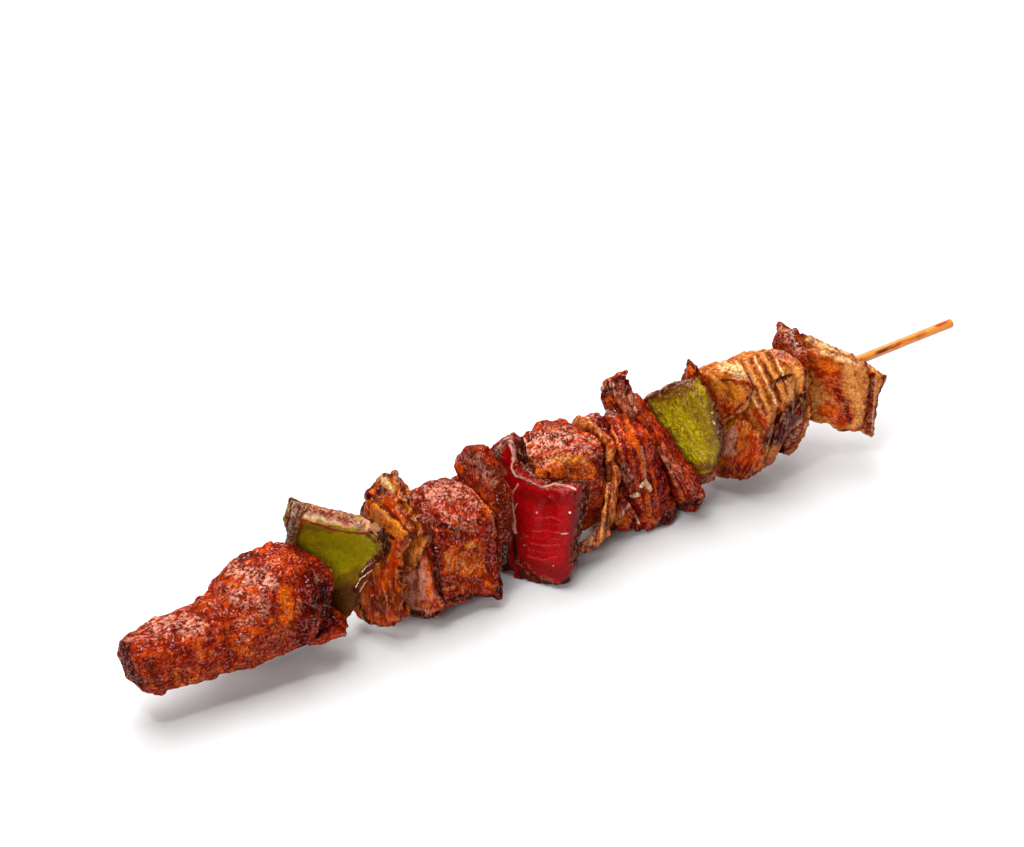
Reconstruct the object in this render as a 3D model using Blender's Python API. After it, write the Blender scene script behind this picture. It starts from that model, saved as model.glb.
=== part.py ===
"""A grilled kebab on a round bamboo skewer, lying on its side as served.

Chunks of marinated meat, squares of green and red pepper and leaves of onion are threaded on one stick.
Every piece is its own solid. The stick runs along X from the covered point (-X) to the bare handle end (+X),
+Z is up, and the lowest pieces stand on small flats at Z = 0. Lengths in this file are millimetres,
turned into metres where a mesh is made.
"""

import math

import bmesh
import bpy
from mathutils import Euler, Matrix, Vector

MM = 0.001

# Driving dimensions
STICK_DIAMETER = 2.5
STICK_SIDES = 16
HANDLE_END = 125.0  # bare end of the stick
POINT_END = -117.0  # tip of the stick, hidden in the first piece of meat
POINT_LENGTH = 6.0
BORE_OVERRUN = 5.0  # how far the hole through the food runs past the stick's bare end
AXIS_HEIGHT = 20.5  # stick's centre line above the surface the food lies on
BORE_CLEARANCE = 0.3  # all round the stick
CONTACT_GAP = 0.3  # between pieces pressed together
GROUND = (400, 100, 20)  # block below Z = 0 that cuts the flats the kebab stands on

# Materials: colour, roughness
MEAT = ("roast_meat", (0.33, 0.075, 0.03), 0.42)
ONION = ("roast_onion", (0.52, 0.24, 0.07), 0.38)
GREEN = ("green_pepper_skin", (0.22, 0.21, 0.02), 0.35)
RED = ("red_pepper_skin", (0.36, 0.012, 0.012), 0.25)
BAMBOO = ("bamboo", (0.72, 0.5, 0.22), 0.55)


def clear_scene():
    for obj in list(bpy.data.objects):
        bpy.data.objects.remove(obj)


def collection(name, hidden=False):
    made = bpy.data.collections.new(name)
    bpy.context.scene.collection.children.link(made)
    made.hide_render = hidden
    return made


def material(spec):
    name, colour, roughness = spec
    made = bpy.data.materials.get(name)
    if made is None:
        made = bpy.data.materials.new(name)
        made.use_nodes = True
        made.diffuse_color = (*colour, 1)
        shader = made.node_tree.nodes["Principled BSDF"]
        shader.inputs["Base Color"].default_value = (*colour, 1)
        shader.inputs["Roughness"].default_value = roughness
    return made


def object_from(bm, name, group, spec=None):
    """A smooth-shaded object from a bmesh in millimetres measured from the stick's centre line."""
    bmesh.ops.transform(bm, matrix=Matrix.Translation((0, 0, AXIS_HEIGHT)), verts=bm.verts)
    bmesh.ops.scale(bm, vec=(MM, MM, MM), verts=bm.verts)
    bmesh.ops.recalc_face_normals(bm, faces=bm.faces)
    mesh = bpy.data.meshes.new(name)
    bm.to_mesh(mesh)
    bm.free()
    mesh.shade_smooth()
    obj = bpy.data.objects.new(name, mesh)
    group.objects.link(obj)
    if spec:
        mesh.materials.append(material(spec))
    return obj


def cage(cells):
    """A cube from -1 to 1 whose sides are split into that many cells along X, Y and Z."""
    bm = bmesh.new()
    bmesh.ops.create_cube(bm, size=2)
    for axis, count in enumerate(cells):
        along = [e for e in bm.edges if abs((e.verts[1].co - e.verts[0].co).normalized()[axis]) > 0.9]
        bmesh.ops.subdivide_edges(bm, edges=along, cuts=count - 1, use_grid_fill=True)
    return bm


def crags(obj, grain, height, kind="CLOUDS"):
    """Uneven relief: grain is the size of the lumps and height how far they stand out, in millimetres."""
    texture = bpy.data.textures.new(obj.name + "_crags", kind)
    texture.noise_scale = grain * MM
    relief = obj.modifiers.new("crags", "DISPLACE")
    relief.texture = texture
    relief.texture_coords = "LOCAL"
    relief.strength = height * MM
    relief.mid_level = 0.5


def bump_field(point, bumps):
    """Sum of rounded bumps at a point of the unit cage: each has a place, a reach and a height."""
    return sum(
        high * math.exp(-((point - Vector(place)).length / reach) ** 2)
        for place, reach, high in bumps
    )


def chunk(name, at, size, turn=(0, 0, 0), round_off=0.45, cells=(6, 7, 7), bumps=(), relief=1.6,
          grain=5.0, flare=0.0):
    """A cut lump of meat: a box with rounded corners, local bumps and hollows, and a craggy crust.

    flare is how far its handle side moves out for each millimetre down.
    """
    bm = cage(cells)
    half = Vector(size) / 2
    place = Matrix.Translation(at) @ Euler([math.radians(a) for a in turn]).to_matrix().to_4x4()
    for vert in bm.verts:
        unit = vert.co.copy()
        rounded = unit.lerp(unit.normalized() * max(abs(c) for c in unit) * 1.12, round_off)
        out = rounded.normalized() * bump_field(unit, bumps)
        local = Vector(r * h for r, h in zip(rounded, half)) + out
        local.x -= flare * local.z * (unit.x + 1) / 2
        vert.co = place @ local
    obj = object_from(bm, name, FOOD, MEAT)
    crags(obj, grain, relief)
    return obj


def lump(name, spec, rings, around=18, square=0.9, relief=1.6, grain=5.0):
    """A lump drawn along the stick through rings of (x, y, z, half width, half height)."""
    bm = bmesh.new()
    rows = []
    for x, y, z, half_y, half_z in rings:
        row = []
        for i in range(around):
            turn = 2 * math.pi * i / around
            c, s = math.cos(turn), math.sin(turn)
            row.append(bm.verts.new((
                x,
                y + half_y * math.copysign(abs(c) ** square, c),
                z + half_z * math.copysign(abs(s) ** square, s),
            )))
        rows.append(row)
    for near, far in zip(rows, rows[1:]):
        for i in range(around):
            j = (i + 1) % around
            bm.faces.new((near[i], far[i], far[j], near[j]))
    for row in (rows[0], rows[-1]):
        bmesh.ops.poke(bm, faces=[bm.faces.new(row)])
    obj = object_from(bm, name, FOOD, spec)
    crags(obj, grain, relief)
    return obj


def smooth_outline(points, count):
    """That many points round a closed curve through the given (y, z) points.

    They are evenly spaced, but the nearest of them moves onto each given point, so that corners stay sharp.
    """
    total = len(points)
    curve = []
    fine = 12
    for i in range(total):
        before, here, after, beyond = (Vector(points[(i + k) % total]) for k in (-1, 0, 1, 2))
        for j in range(fine):
            t = j / fine
            curve.append(
                0.5 * (2 * here + (after - before) * t + (2 * before - 5 * here + 4 * after - beyond) * t * t
                       + (3 * here - before - 3 * after + beyond) * t ** 3)
            )
    lengths = [(curve[(i + 1) % len(curve)] - p).length for i, p in enumerate(curve)]
    pitch = sum(lengths) / count
    picked, travelled = [], 0.0
    for i, length in enumerate(lengths):
        if travelled >= pitch * len(picked) and len(picked) < count:
            picked.append(i)
        travelled += length
    corners = [i * fine for i in range(total)]
    for corner in corners:
        nearest = min(picked, key=lambda i: (curve[i] - curve[corner]).length)
        if nearest not in corners:
            picked[picked.index(nearest)] = corner
    return [curve[i] for i in sorted(picked)]


def slab(name, spec, face, outline, thick, yaw=0.0, lean=0.0, warp=None, around=20, edge=None, relief=0.5,
         grain=4.0, swell=None):
    """A flat or curled piece threaded across the stick.

    face is where its side towards the point end meets the stick's centre line, and outline its cut edge as
    (y, z) from there. Yaw and lean are how far it moves along the stick for each millimetre of y and z, and
    warp(y, z) adds a curl. edge is the share of its thickness kept at the cut edge; onion leaves thin out most.
    """
    step = 0.1
    rings = (0.0, 0.35, 0.66, 0.9, 1.0)
    edge = edge or (0.4 if spec is ONION else 0.7)
    warp = warp or (lambda y, z: 0.0)
    swell = swell or (lambda y, z: 0.0)

    def height(y, z):
        return face + yaw * y + lean * z + warp(y, z)

    def place(y, z, depth):
        slope_y = (height(y + step, z) - height(y - step, z)) / (2 * step)
        slope_z = (height(y, z + step) - height(y, z - step)) / (2 * step)
        return Vector((height(y, z), y, z)) + Vector((1, -slope_y, -slope_z)).normalized() * depth

    bm = bmesh.new()
    border = smooth_outline(outline, around)
    middle = sum(border, Vector((0, 0))) / len(border)
    sides = []
    for far in (False, True):
        grid = []
        for ring in rings:
            spots = [middle] if ring == 0 else [middle.lerp(p, ring) for p in border]
            kept = edge if ring == 1 else 1.0
            row = []
            for spot in spots:
                full = thick + swell(*spot)
                depth = full * (1 + kept) / 2 if far else full * (1 - kept) / 2
                row.append(bm.verts.new(place(spot.x, spot.y, depth)))
            grid.append(row)
        sides.append(grid)
    for grid in sides:
        hub = grid[0][0]
        for i in range(around):
            j = (i + 1) % around
            bm.faces.new((hub, grid[1][i], grid[1][j]))
            for inner, outer in zip(grid[1:], grid[2:]):
                bm.faces.new((inner[i], outer[i], outer[j], inner[j]))
    for i in range(around):
        j = (i + 1) % around
        bm.faces.new((sides[0][-1][i], sides[0][-1][j], sides[1][-1][j], sides[1][-1][i]))
    obj = object_from(bm, name, FOOD, spec)
    crags(obj, grain, relief)
    return obj


def stick(name, radius, start, end, group, spec=None):
    """A round stick along X with a cone at its hidden end."""
    bm = bmesh.new()
    along_x = Matrix.Rotation(math.radians(90), 4, "Y")
    shaft = end - start - POINT_LENGTH
    middle = Matrix.Translation(((start + POINT_LENGTH + end) / 2, 0, 0)) @ along_x
    made = bmesh.ops.create_cone(
        bm, cap_ends=True, segments=STICK_SIDES, radius1=radius, radius2=radius, depth=shaft, matrix=middle
    )
    point_face = min((f for f in bm.faces if len(f.verts) > 4), key=lambda f: f.calc_center_median().x)
    bmesh.ops.poke(bm, faces=[point_face])
    tip = min(bm.verts, key=lambda v: abs(v.co.y) + abs(v.co.z) + (v.co.x - start))
    tip.co = (start, 0, 0)
    return object_from(bm, name, group, spec)


def cut(obj, cutter, name):
    """Takes the cutter's shape out of obj."""
    boolean = obj.modifiers.new(name, "BOOLEAN")
    boolean.operation = "DIFFERENCE"
    boolean.object = cutter


def grown(obj):
    """A copy of a piece that stands CONTACT_GAP proud all over, to press its shape into a neighbour."""
    copy = obj.copy()
    copy.data = obj.data.copy()
    copy.name = obj.name + "_press"
    swell = copy.modifiers.new("swell", "DISPLACE")
    swell.strength = CONTACT_GAP * MM
    swell.mid_level = 0
    as_cutter(copy)
    return copy


def as_cutter(obj):
    for group in list(obj.users_collection):
        group.objects.unlink(obj)
    CUTTERS.objects.link(obj)
    obj.hide_render = True
    obj.display_type = "WIRE"


def meat_at_the_point():
    """Three pieces that cover the stick's point, the first the slimmest."""
    lump("meat_1", MEAT, [
        (-127, -1, -3.2, 4, 4), (-126.4, -1, -3.4, 6, 6), (-123.5, -1, -3.8, 7.2, 7.3),
        (-118, -1, -3.9, 7.6, 7.8), (-113, -1, -4.1, 8, 8.1), (-108, -1, -4.4, 8.6, 8.6),
        (-104, -1, -4.2, 8.2, 8.4), (-101.5, 0, -3, 5.5, 6),
    ])
    lump("meat_2", MEAT, [
        (-107, -1, -5.5, 6, 6.5), (-105.5, -1, -5.3, 7.6, 7.8), (-102, -1, -4.4, 9.2, 9.4),
        (-98, -0.5, -3, 11, 11.1), (-92, -0.3, -2.1, 11.9, 12), (-86, 0, -1.8, 12.1, 12.3),
        (-82, -0.5, -1.6, 10.8, 11.6), (-80, -0.5, -1.6, 7.5, 8.5),
    ])
    slab("meat_3", MEAT, -84, [
        (9, 6), (2, 8), (-5, 8), (-9, 4), (-10, -3), (-11.5, -7), (-10.5, -11.5), (-4, -14.5),
        (4, -15), (9, -9), (11, 0)
    ], 7.0, yaw=-0.35, relief=1.2,
         warp=lambda y, z: 3.5 * math.exp(-((y + 12) ** 2 + (z + 10) ** 2) / 50))


def first_green_pepper():
    slab("green_pepper_1", GREEN, -73, [
        (7, 9), (5.4, 14.5), (3.5, 16.5), (-1, 15.5), (-6, 15), (-11.5, 14.5), (-11, 9), (-9.4, 5),
        (-7, -2), (-5.5, -9.5), (-2, -15), (5, -14), (8.4, -7), (8.4, 0)
    ], 5.5, yaw=-0.75, lean=0.05, warp=lambda y, z: -4.0 * (max(0.0, z - 4) / 10) ** 2, edge=0.85)


def first_onion():
    slab("onion_1", ONION, -60.5, [
        (3, 17), (0, 18.5), (-7, 15), (-11, 10), (-8.5, 3), (-12.5, -5.5), (-12.5, -11),
        (-9, -15.5), (-2.5, -18), (3, -16.5), (5, -10), (6, 0), (5, 10)
    ], 3.0, yaw=-0.2, lean=0.2, swell=lambda y, z: 2.0 * math.exp(-((z + 12) / 6) ** 2))
    slab("onion_2", ONION, -54, [
        (8, 14), (5, 17.5), (2, 18), (-4, 16), (-8.5, 13), (-12, 8.5), (-9, 2), (-5, -6), (4, -7),
        (9, 0), (10, 8)
    ], 2.8, yaw=-0.15, lean=0.12)
    slab("onion_3", ONION, -52, [
        (7, 5), (0, 6), (-7, 4), (-10, -3), (-10.5, -9), (-13.5, -12.5), (-11.5, -16.5), (-8, -19),
        (-1, -21.5), (4, -21.5), (7, -12), (8, -3)
    ], 3.0, yaw=-0.1, lean=-0.06)


def second_meat():
    chunk("meat_4", (-40, -1, -4), (19, 22, 25), round_off=0.35,
          bumps=[((1, -1, -1), 0.5, 3.5), ((-1, 1, 1), 0.8, -2.0), ((1, 0, 1), 0.8, 0.5)])
    slab("meat_5", MEAT, -30, [
        (10, 9), (6.5, 14), (2.5, 17.4), (-2, 17.5), (-4, 13), (-8.5, 9.5), (-10.5, 2), (-10.5, -8),
        (-9, -13), (-4, -14), (3, -15), (9, -12), (11, 0)
    ], 4.5, lean=0.1, relief=1.0)


def red_pepper():
    slab("red_pepper", RED, -20.5, [
        (7, 9), (4, 14), (1.5, 16), (-1, 15.5), (-2.5, 9.5), (-5, 7.4), (-9, 6.5), (-16, 7.3),
        (-16.6, 0), (-16.6, -8), (-16.8, -15), (-15, -19), (-8, -20.8), (0, -22), (5, -15), (8, -5),
        (8, 4)
    ], 5.5, yaw=-0.5, lean=0.1, edge=0.85, relief=0.3, around=24,
         swell=lambda y, z: 3.0 * math.exp(-((y + 16) ** 2 + (z - 4) ** 2) / 60))


def middle_meat():
    chunk("meat_6", (-4, 1.5, -0.3), (18, 21, 23.5), round_off=0.35, bumps=[((-1, 0.6, 1), 0.8, -2.5)])

    def wrap(y, z):
        bend = 0.6 + 3.8 * max(0.0, 2 - z) / 20
        return -bend * 0.8 * math.log(1 + math.exp((-8 - y) / 0.8))

    slab("onion_4", ONION, 6.5, [
        (9, 10), (0, 11), (-7, 9), (-9.5, 4), (-10.5, -6), (-11, -13), (-10.5, -15.8), (-5, -17),
        (3, -15), (8, -8), (10, 2)
    ], 2.0, warp=wrap)
    chunk("meat_7", (16.2, 1, -5.8), (15, 20, 30), round_off=0.3, flare=0.3,
          bumps=[((-1, -1, -1), 0.7, -2.5)])

    def drape(y, z):
        return -0.15 * max(0.0, z) + 0.36 * max(0.0, -z)

    slab("meat_8", MEAT, 22, [
        (13, 10), (12, 14), (8.2, 17), (4.6, 19), (2.5, 18), (1.5, 11.5), (-4, 4.5), (-11, -5),
        (-13, -9), (-12, -14.5), (-9, -20), (-5, -22), (3, -22), (7, -15), (10, -5), (12, 3)
    ], 4.5, yaw=-0.2, warp=drape, around=24, relief=1.2)


def second_green_pepper():
    slab("green_pepper_2", GREEN, 28, [
        (8, 2), (6, 8), (1.5, 12.5), (-3, 16), (-7.5, 18.5), (-11, 16), (-13.5, 11), (-14.5, 3),
        (-13, -4), (-10.5, -8.5), (-4, -9), (4, -9)
    ], 4.5, yaw=-0.4, lean=-0.1, edge=0.85)


def onion_stack():
    slab("onion_5", ONION, 36.5, [
        (4, 9), (3, 14), (1.5, 18.7), (-1.5, 18.2), (-2, 13.5), (-4, 8.5), (-7.5, 1), (-8, -8),
        (-7.7, -13), (-2.5, -17), (4, -15), (8, -5), (8, 3)
    ], 2.2, yaw=-0.2)
    slab("onion_6", ONION, 40.5, [
        (6, 10), (2, 13.5), (-3, 16), (-8, 16), (-11, 13.5), (-11, 8), (-7, 3), (0, -4), (6, -4)
    ], 2.4, yaw=-0.5)
    slab("onion_7", ONION, 43.5, [
        (8, 8), (0, 10), (-6, 8), (-9, 2), (-13.5, 0), (-15, -6), (-13.5, -11), (-9, -15),
        (-3, -17), (3, -16), (8, -8)
    ], 2.8, yaw=-0.3)
    slab("onion_8", ONION, 47.5, [
        (11, 7.5), (6, 11.5), (0, 14), (-6, 15), (-11, 12.5), (-13, 5), (-12.5, -4), (-11, -11),
        (-8, -15.5), (1, -16), (8, -11), (12, -2)
    ], 4.8, yaw=-0.3, lean=0.1)
    slab("onion_9", ONION, 53, [
        (11, 7), (6, 11), (0, 14), (-6, 14.5), (-11.5, 11.5), (-13, 4), (-12.2, -5), (-10.5, -12.5),
        (-6.5, -16.5), (2, -16.5), (9, -8), (12, 0)
    ], 4.8, yaw=-0.3, lean=0.18)
    slab("onion_10", ONION, 58.5, [
        (11, 7), (5, 11.5), (-1, 14), (-7, 13.5), (-11, 10.5), (-12, 3), (-10, -5), (-7, -10),
        (-1, -12), (6, -11), (11, -3)
    ], 4.2, yaw=-0.3, lean=0.2)


def handle_side():
    slab("meat_9", MEAT, 64.5, [
        (5, 10), (5, 14), (3.8, 17), (0, 16.5), (-4, 15.5), (-6, 14), (-8, 6), (-9, -2), (-9, -8),
        (-8, -13), (-4, -15.5), (3, -12), (8, -4), (8, 5)
    ], 3.5, lean=0.2, relief=1.0)
    slab("onion_11", ONION, 69, [
        (6, 4), (-3, 6), (-8, 2), (-9.5, -4), (-9, -10), (-6, -16), (0, -14), (6, -6)
    ], 1.4, lean=0.3)
    slab("onion_12", ONION, 75, [
        (5, 8), (0.4, 8.5), (-5, 9.7), (-9.7, 9), (-13, 8.5), (-14, 4), (-13.6, -2), (-13.2, -10.5),
        (-12, -12.3), (-8.5, -13.4), (-5, -12.2), (-1, -12), (4, -10), (6, -2)
    ], 2.8, yaw=-0.6)
    slab("onion_13", ONION, 79.5, [
        (8, 9), (5.4, 10.5), (0.4, 9.6), (-7, 8), (-12, 6), (-15.8, 4.3), (-14.8, -1), (-13.8, -9),
        (-13.6, -14.6), (-12, -15), (-6, -13), (2, -11), (7, -4)
    ], 2.0, yaw=-0.5)


def centre():
    """Moves everything so that the whole kebab is centred over the origin and stands on Z = 0."""
    bpy.context.view_layer.update()
    seen = bpy.context.evaluated_depsgraph_get()
    corners = [
        obj.matrix_world @ Vector(corner)
        for obj in FOOD.objects
        for corner in obj.evaluated_get(seen).bound_box
    ]
    low = Vector(min(c[i] for c in corners) for i in range(3))
    high = Vector(max(c[i] for c in corners) for i in range(3))
    shift = Vector((-(low.x + high.x) / 2, -(low.y + high.y) / 2, -low.z))
    for obj in [*FOOD.objects, *CUTTERS.objects]:
        obj.location = shift


# Who gives way to whom where two pieces are pressed together: (gives way, keeps its shape)
CONTACTS = [
    ("meat_1", "meat_2"),
    ("meat_3", "meat_2"),
    ("meat_3", "green_pepper_1"),
    ("onion_1", "green_pepper_1"),
    ("meat_4", "onion_2"),
    ("onion_2", "onion_1"),
    ("onion_3", "onion_1"),
    ("onion_3", "onion_2"),
    ("meat_4", "onion_3"),
    ("meat_4", "meat_5"),
    ("meat_5", "red_pepper"),
    ("meat_6", "red_pepper"),
    ("meat_6", "onion_4"),
    ("meat_7", "meat_6"),
    ("meat_7", "onion_4"),
    ("meat_7", "meat_8"),
    ("meat_8", "green_pepper_2"),
    ("onion_5", "green_pepper_2"),
    ("onion_6", "onion_5"),
    ("onion_7", "onion_6"),
    ("onion_8", "onion_7"),
    ("onion_9", "onion_8"),
    ("onion_10", "onion_9"),
    ("onion_10", "meat_9"),
    ("meat_9", "onion_11"),
    ("onion_12", "onion_11"),
    ("onion_13", "onion_12"),
]


def build():
    meat_at_the_point()
    first_green_pepper()
    first_onion()
    second_meat()
    red_pepper()
    middle_meat()
    second_green_pepper()
    onion_stack()
    handle_side()
    pieces = {obj.name: obj for obj in FOOD.objects}

    bore_radius = STICK_DIAMETER / 2 + BORE_CLEARANCE
    bore = stick("stick_bore", bore_radius, POINT_END - BORE_CLEARANCE, HANDLE_END + BORE_OVERRUN, CUTTERS)
    as_cutter(bore)
    bm = bmesh.new()
    bmesh.ops.create_cube(bm, size=1, matrix=Matrix.Diagonal((*GROUND, 1)))
    bmesh.ops.translate(bm, vec=(0, 0, -GROUND[2] / 2 - AXIS_HEIGHT), verts=bm.verts)
    ground = object_from(bm, "ground", CUTTERS)
    as_cutter(ground)

    presses = {keeper: grown(pieces[keeper]) for keeper in sorted({keeps for _, keeps in CONTACTS})}
    for obj in pieces.values():
        cut(obj, bore, "bore")
        cut(obj, ground, "rest")
    for yielder, keeper in CONTACTS:
        cut(pieces[yielder], presses[keeper], "press_" + keeper)
    stick("skewer", STICK_DIAMETER / 2, POINT_END, HANDLE_END, FOOD, BAMBOO)
    centre()


clear_scene()
FOOD = collection("kebab_skewer")
CUTTERS = collection("cutters", hidden=True)
build()
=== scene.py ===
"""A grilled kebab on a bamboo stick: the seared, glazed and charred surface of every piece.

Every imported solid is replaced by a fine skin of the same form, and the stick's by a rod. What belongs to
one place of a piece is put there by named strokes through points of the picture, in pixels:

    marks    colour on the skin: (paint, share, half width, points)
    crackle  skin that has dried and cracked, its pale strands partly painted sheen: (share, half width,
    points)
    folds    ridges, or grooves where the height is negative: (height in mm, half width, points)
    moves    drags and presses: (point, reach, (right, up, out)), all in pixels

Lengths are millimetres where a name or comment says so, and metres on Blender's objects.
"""

import math

import bmesh
import bpy
import numpy as np
from mathutils import Euler, Matrix, Vector
from mathutils.bvhtree import BVHTree


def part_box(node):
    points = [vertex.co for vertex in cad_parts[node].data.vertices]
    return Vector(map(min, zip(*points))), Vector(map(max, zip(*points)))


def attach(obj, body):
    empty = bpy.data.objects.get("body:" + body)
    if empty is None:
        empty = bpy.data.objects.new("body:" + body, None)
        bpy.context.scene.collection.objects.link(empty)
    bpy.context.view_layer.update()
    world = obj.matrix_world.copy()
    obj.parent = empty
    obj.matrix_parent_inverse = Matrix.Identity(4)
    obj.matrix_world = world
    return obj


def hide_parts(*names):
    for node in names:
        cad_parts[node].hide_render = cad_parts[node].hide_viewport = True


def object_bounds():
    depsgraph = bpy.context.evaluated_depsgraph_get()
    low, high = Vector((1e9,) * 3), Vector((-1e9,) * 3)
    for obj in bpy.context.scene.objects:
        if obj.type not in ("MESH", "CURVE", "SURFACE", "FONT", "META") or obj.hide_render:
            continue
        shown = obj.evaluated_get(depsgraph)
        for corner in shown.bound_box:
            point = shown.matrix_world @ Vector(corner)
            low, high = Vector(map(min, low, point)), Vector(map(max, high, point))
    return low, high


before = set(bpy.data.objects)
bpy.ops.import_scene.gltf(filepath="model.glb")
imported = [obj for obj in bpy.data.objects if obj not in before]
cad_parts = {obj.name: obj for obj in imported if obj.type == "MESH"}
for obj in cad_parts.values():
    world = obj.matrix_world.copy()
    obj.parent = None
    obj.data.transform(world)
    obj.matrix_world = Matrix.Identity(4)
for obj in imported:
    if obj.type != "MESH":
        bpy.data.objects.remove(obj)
cad_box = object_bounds()

MM = 0.001
PICTURE = (1024, 847)  # width and height, in pixels
LOW, HIGH = (np.array(corner) for corner in cad_box)

# Camera, at the picture's own angle
AZIMUTH, ELEVATION = math.radians(-36), math.radians(32)
DISTANCE = 0.85
LENS, SENSOR = 118.29, 36.0
PIXEL = DISTANCE * SENSOR / LENS / PICTURE[0]  # metres on the food for one pixel of the picture
MIDDLE = (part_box("skewer")[0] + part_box("skewer")[1]) / 2
TARGET = Vector((0.0042626, 0.02964836 + MIDDLE.y, 0.019))
BACK = Vector((
    math.sin(AZIMUTH) * math.cos(ELEVATION),
    -math.cos(AZIMUTH) * math.cos(ELEVATION),
    math.sin(ELEVATION),
))
RIGHT = Vector((0, 0, 1)).cross(BACK).normalized()
UP = BACK.cross(RIGHT)
EYE = TARGET + BACK * DISTANCE

# Lights: size in metres, power in watts, and place. All aim at LIT.
LIGHTS = {
    "back": (0.7, 8.5, (0.30, 0.55, 0.75)),
    "top": (0.8, 13, (-0.15, 0.05, 1.0)),
    "front": (0.5, 5.5, (-0.75, -0.55, 0.55)),
    "glint": (0.07, 1.7, (-0.45, -0.20, 0.9)),
    "low_glint": (0.07, 1.1, (-0.70, -0.50, 0.55)),
}
LIT = Vector((0, 0, 0.02))
WORLD_LIGHT = 0.04
FLOOR_GREY = 0.62

MEAT_CELL, LEAF_CELL = 0.48, 0.45  # mesh sizes of a skin in mm, before it is divided once
LEAF_SOFTNESS, PEPPER_SOFTNESS = 4, 5  # rounds of smoothing
BLUNTING = 60  # rounds of smoothing that a skin is compared with, to find its rims
FULL_RIM = 97  # per cent of a skin that is less sharp than a full rim
NEAR_REACH = 1.8  # mm from a neighbour within which a piece is darkened by painted shade and sauce
WANDER = 1.1  # how far a stroke's edge strays, in pixels
SOAK = 5.0  # mm behind what the camera sees that a stroke soaks in fully. It is gone at twice as many.

# The bamboo stick, in mm, and its mesh
STICK_BEVEL, STICK_TIP = 0.1, 6
STICK_SIDES, STICK_CUTS = 32, 240

# Colours of cooked food, each with its roughness
SEAR_RED = ((0.29, 0.010, 0.003), 0.28)
SEAR_BROWN = ((0.40, 0.028, 0.003), 0.3)
BRIGHT_RED = ((0.52, 0.040, 0.006), 0.24)
ORANGE_GLAZE = ((0.68, 0.098, 0.004), 0.20)
# Gold of clear glaze, and of painted glints
GOLD_GLAZE_AND_GLINT = ((0.66, 0.19, 0.015), 0.18)
DEEP_RED = ((0.15, 0.004, 0.002), 0.26)
MAROON = ((0.050, 0.003, 0.002), 0.30)
CHAR = ((0.026, 0.006, 0.005), 0.40)
# Pale pink of dried crust, and of painted sheen and glints
PINK_CRUST_AND_SHEEN = ((0.90, 0.36, 0.23), 0.2)
ASH_GREY = ((0.38, 0.29, 0.20), 0.45)
# White of fat, pale scraps and curls, and of painted glints
FAT_AND_GLINT_WHITE = ((0.95, 0.62, 0.36), 0.3)
OCHRE = ((0.48, 0.100, 0.008), 0.26)
STRAW = ((0.70, 0.27, 0.058), 0.26)
CREAM = ((0.90, 0.54, 0.22), 0.32)
CARAMEL = ((0.40, 0.028, 0.002), 0.2)
UMBER = ((0.12, 0.009, 0.002), 0.28)
BLUSH = ((0.52, 0.12, 0.05), 0.28)
TAN = ((0.60, 0.26, 0.13), 0.35)
OLIVE = ((0.22, 0.17, 0.002), 0.36)
LIME = ((0.33, 0.23, 0.003), 0.26)
BRIGHT_LIME = ((0.45, 0.35, 0.004), 0.24)
PEAT = ((0.075, 0.026, 0.005), 0.35)
DARK_OLIVE = ((0.16, 0.085, 0.005), 0.36)
CRIMSON = ((0.35, 0.002, 0.004), 0.16)
WINE = ((0.20, 0.002, 0.003), 0.22)
PEACH = ((0.68, 0.27, 0.17), 0.3)
# Rose of the painted shine along the red pepper's wrinkles
ROSE = ((0.50, 0.03, 0.035), 0.16)
PALE_ROSE = ((0.72, 0.36, 0.30), 0.3)
BAMBOO = ((0.72, 0.24, 0.032), 0.4)


def only(obj):
    """Makes obj the one selected and active object."""
    bpy.ops.object.select_all(action="DESELECT")
    obj.select_set(True)
    bpy.context.view_layer.objects.active = obj


def finish_with(obj, kind, **settings):
    """Adds a modifier and applies it."""
    only(obj)
    modifier = obj.modifiers.new(kind.lower(), kind)
    for name, value in settings.items():
        setattr(modifier, name, value)
    bpy.ops.object.modifier_apply(modifier=modifier.name)


def points(obj):
    flat = np.empty(len(obj.data.vertices) * 3, np.float32)
    obj.data.vertices.foreach_get("co", flat)
    return flat.reshape(-1, 3)


def normals(obj):
    flat = np.empty(len(obj.data.vertices) * 3, np.float32)
    obj.data.vertex_normals.foreach_get("vector", flat)
    return flat.reshape(-1, 3)


def place(obj, coordinates):
    """Moves every vertex to its new place."""
    obj.data.vertices.foreach_set("co", np.ascontiguousarray(coordinates, np.float32).ravel())
    obj.data.update()


def note(obj, name, values):
    """Keeps one number for each vertex, which the finish reads."""
    kept = obj.data.attributes.get(name) or obj.data.attributes.new(name, "FLOAT", "POINT")
    kept.data.foreach_set("value", np.ascontiguousarray(values, np.float32))


def recall(obj, name):
    """The numbers that note keeps under a name."""
    flat = np.empty(len(obj.data.vertices), np.float32)
    obj.data.attributes[name].data.foreach_get("value", flat)
    return flat


def smoothstep(value):
    value = np.clip(value, 0, 1)
    return value * value * (3 - 2 * value)


def closeness(node, places):
    """How near each place is to the other solids: 1 where they touch, 0 from NEAR_REACH away."""
    corners, faces = [], []
    for name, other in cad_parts.items():
        if name not in (node, "skewer"):
            first = len(corners)
            corners += [v.co for v in other.data.vertices]
            faces += [[first + i for i in p.vertices] for p in other.data.polygons]
    others = BVHTree.FromPolygons(corners, faces)
    gaps = [others.find_nearest(Vector(p), NEAR_REACH * MM)[3] for p in places]
    return np.array([0 if gap is None else 1 - gap / MM / NEAR_REACH for gap in gaps])


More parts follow.
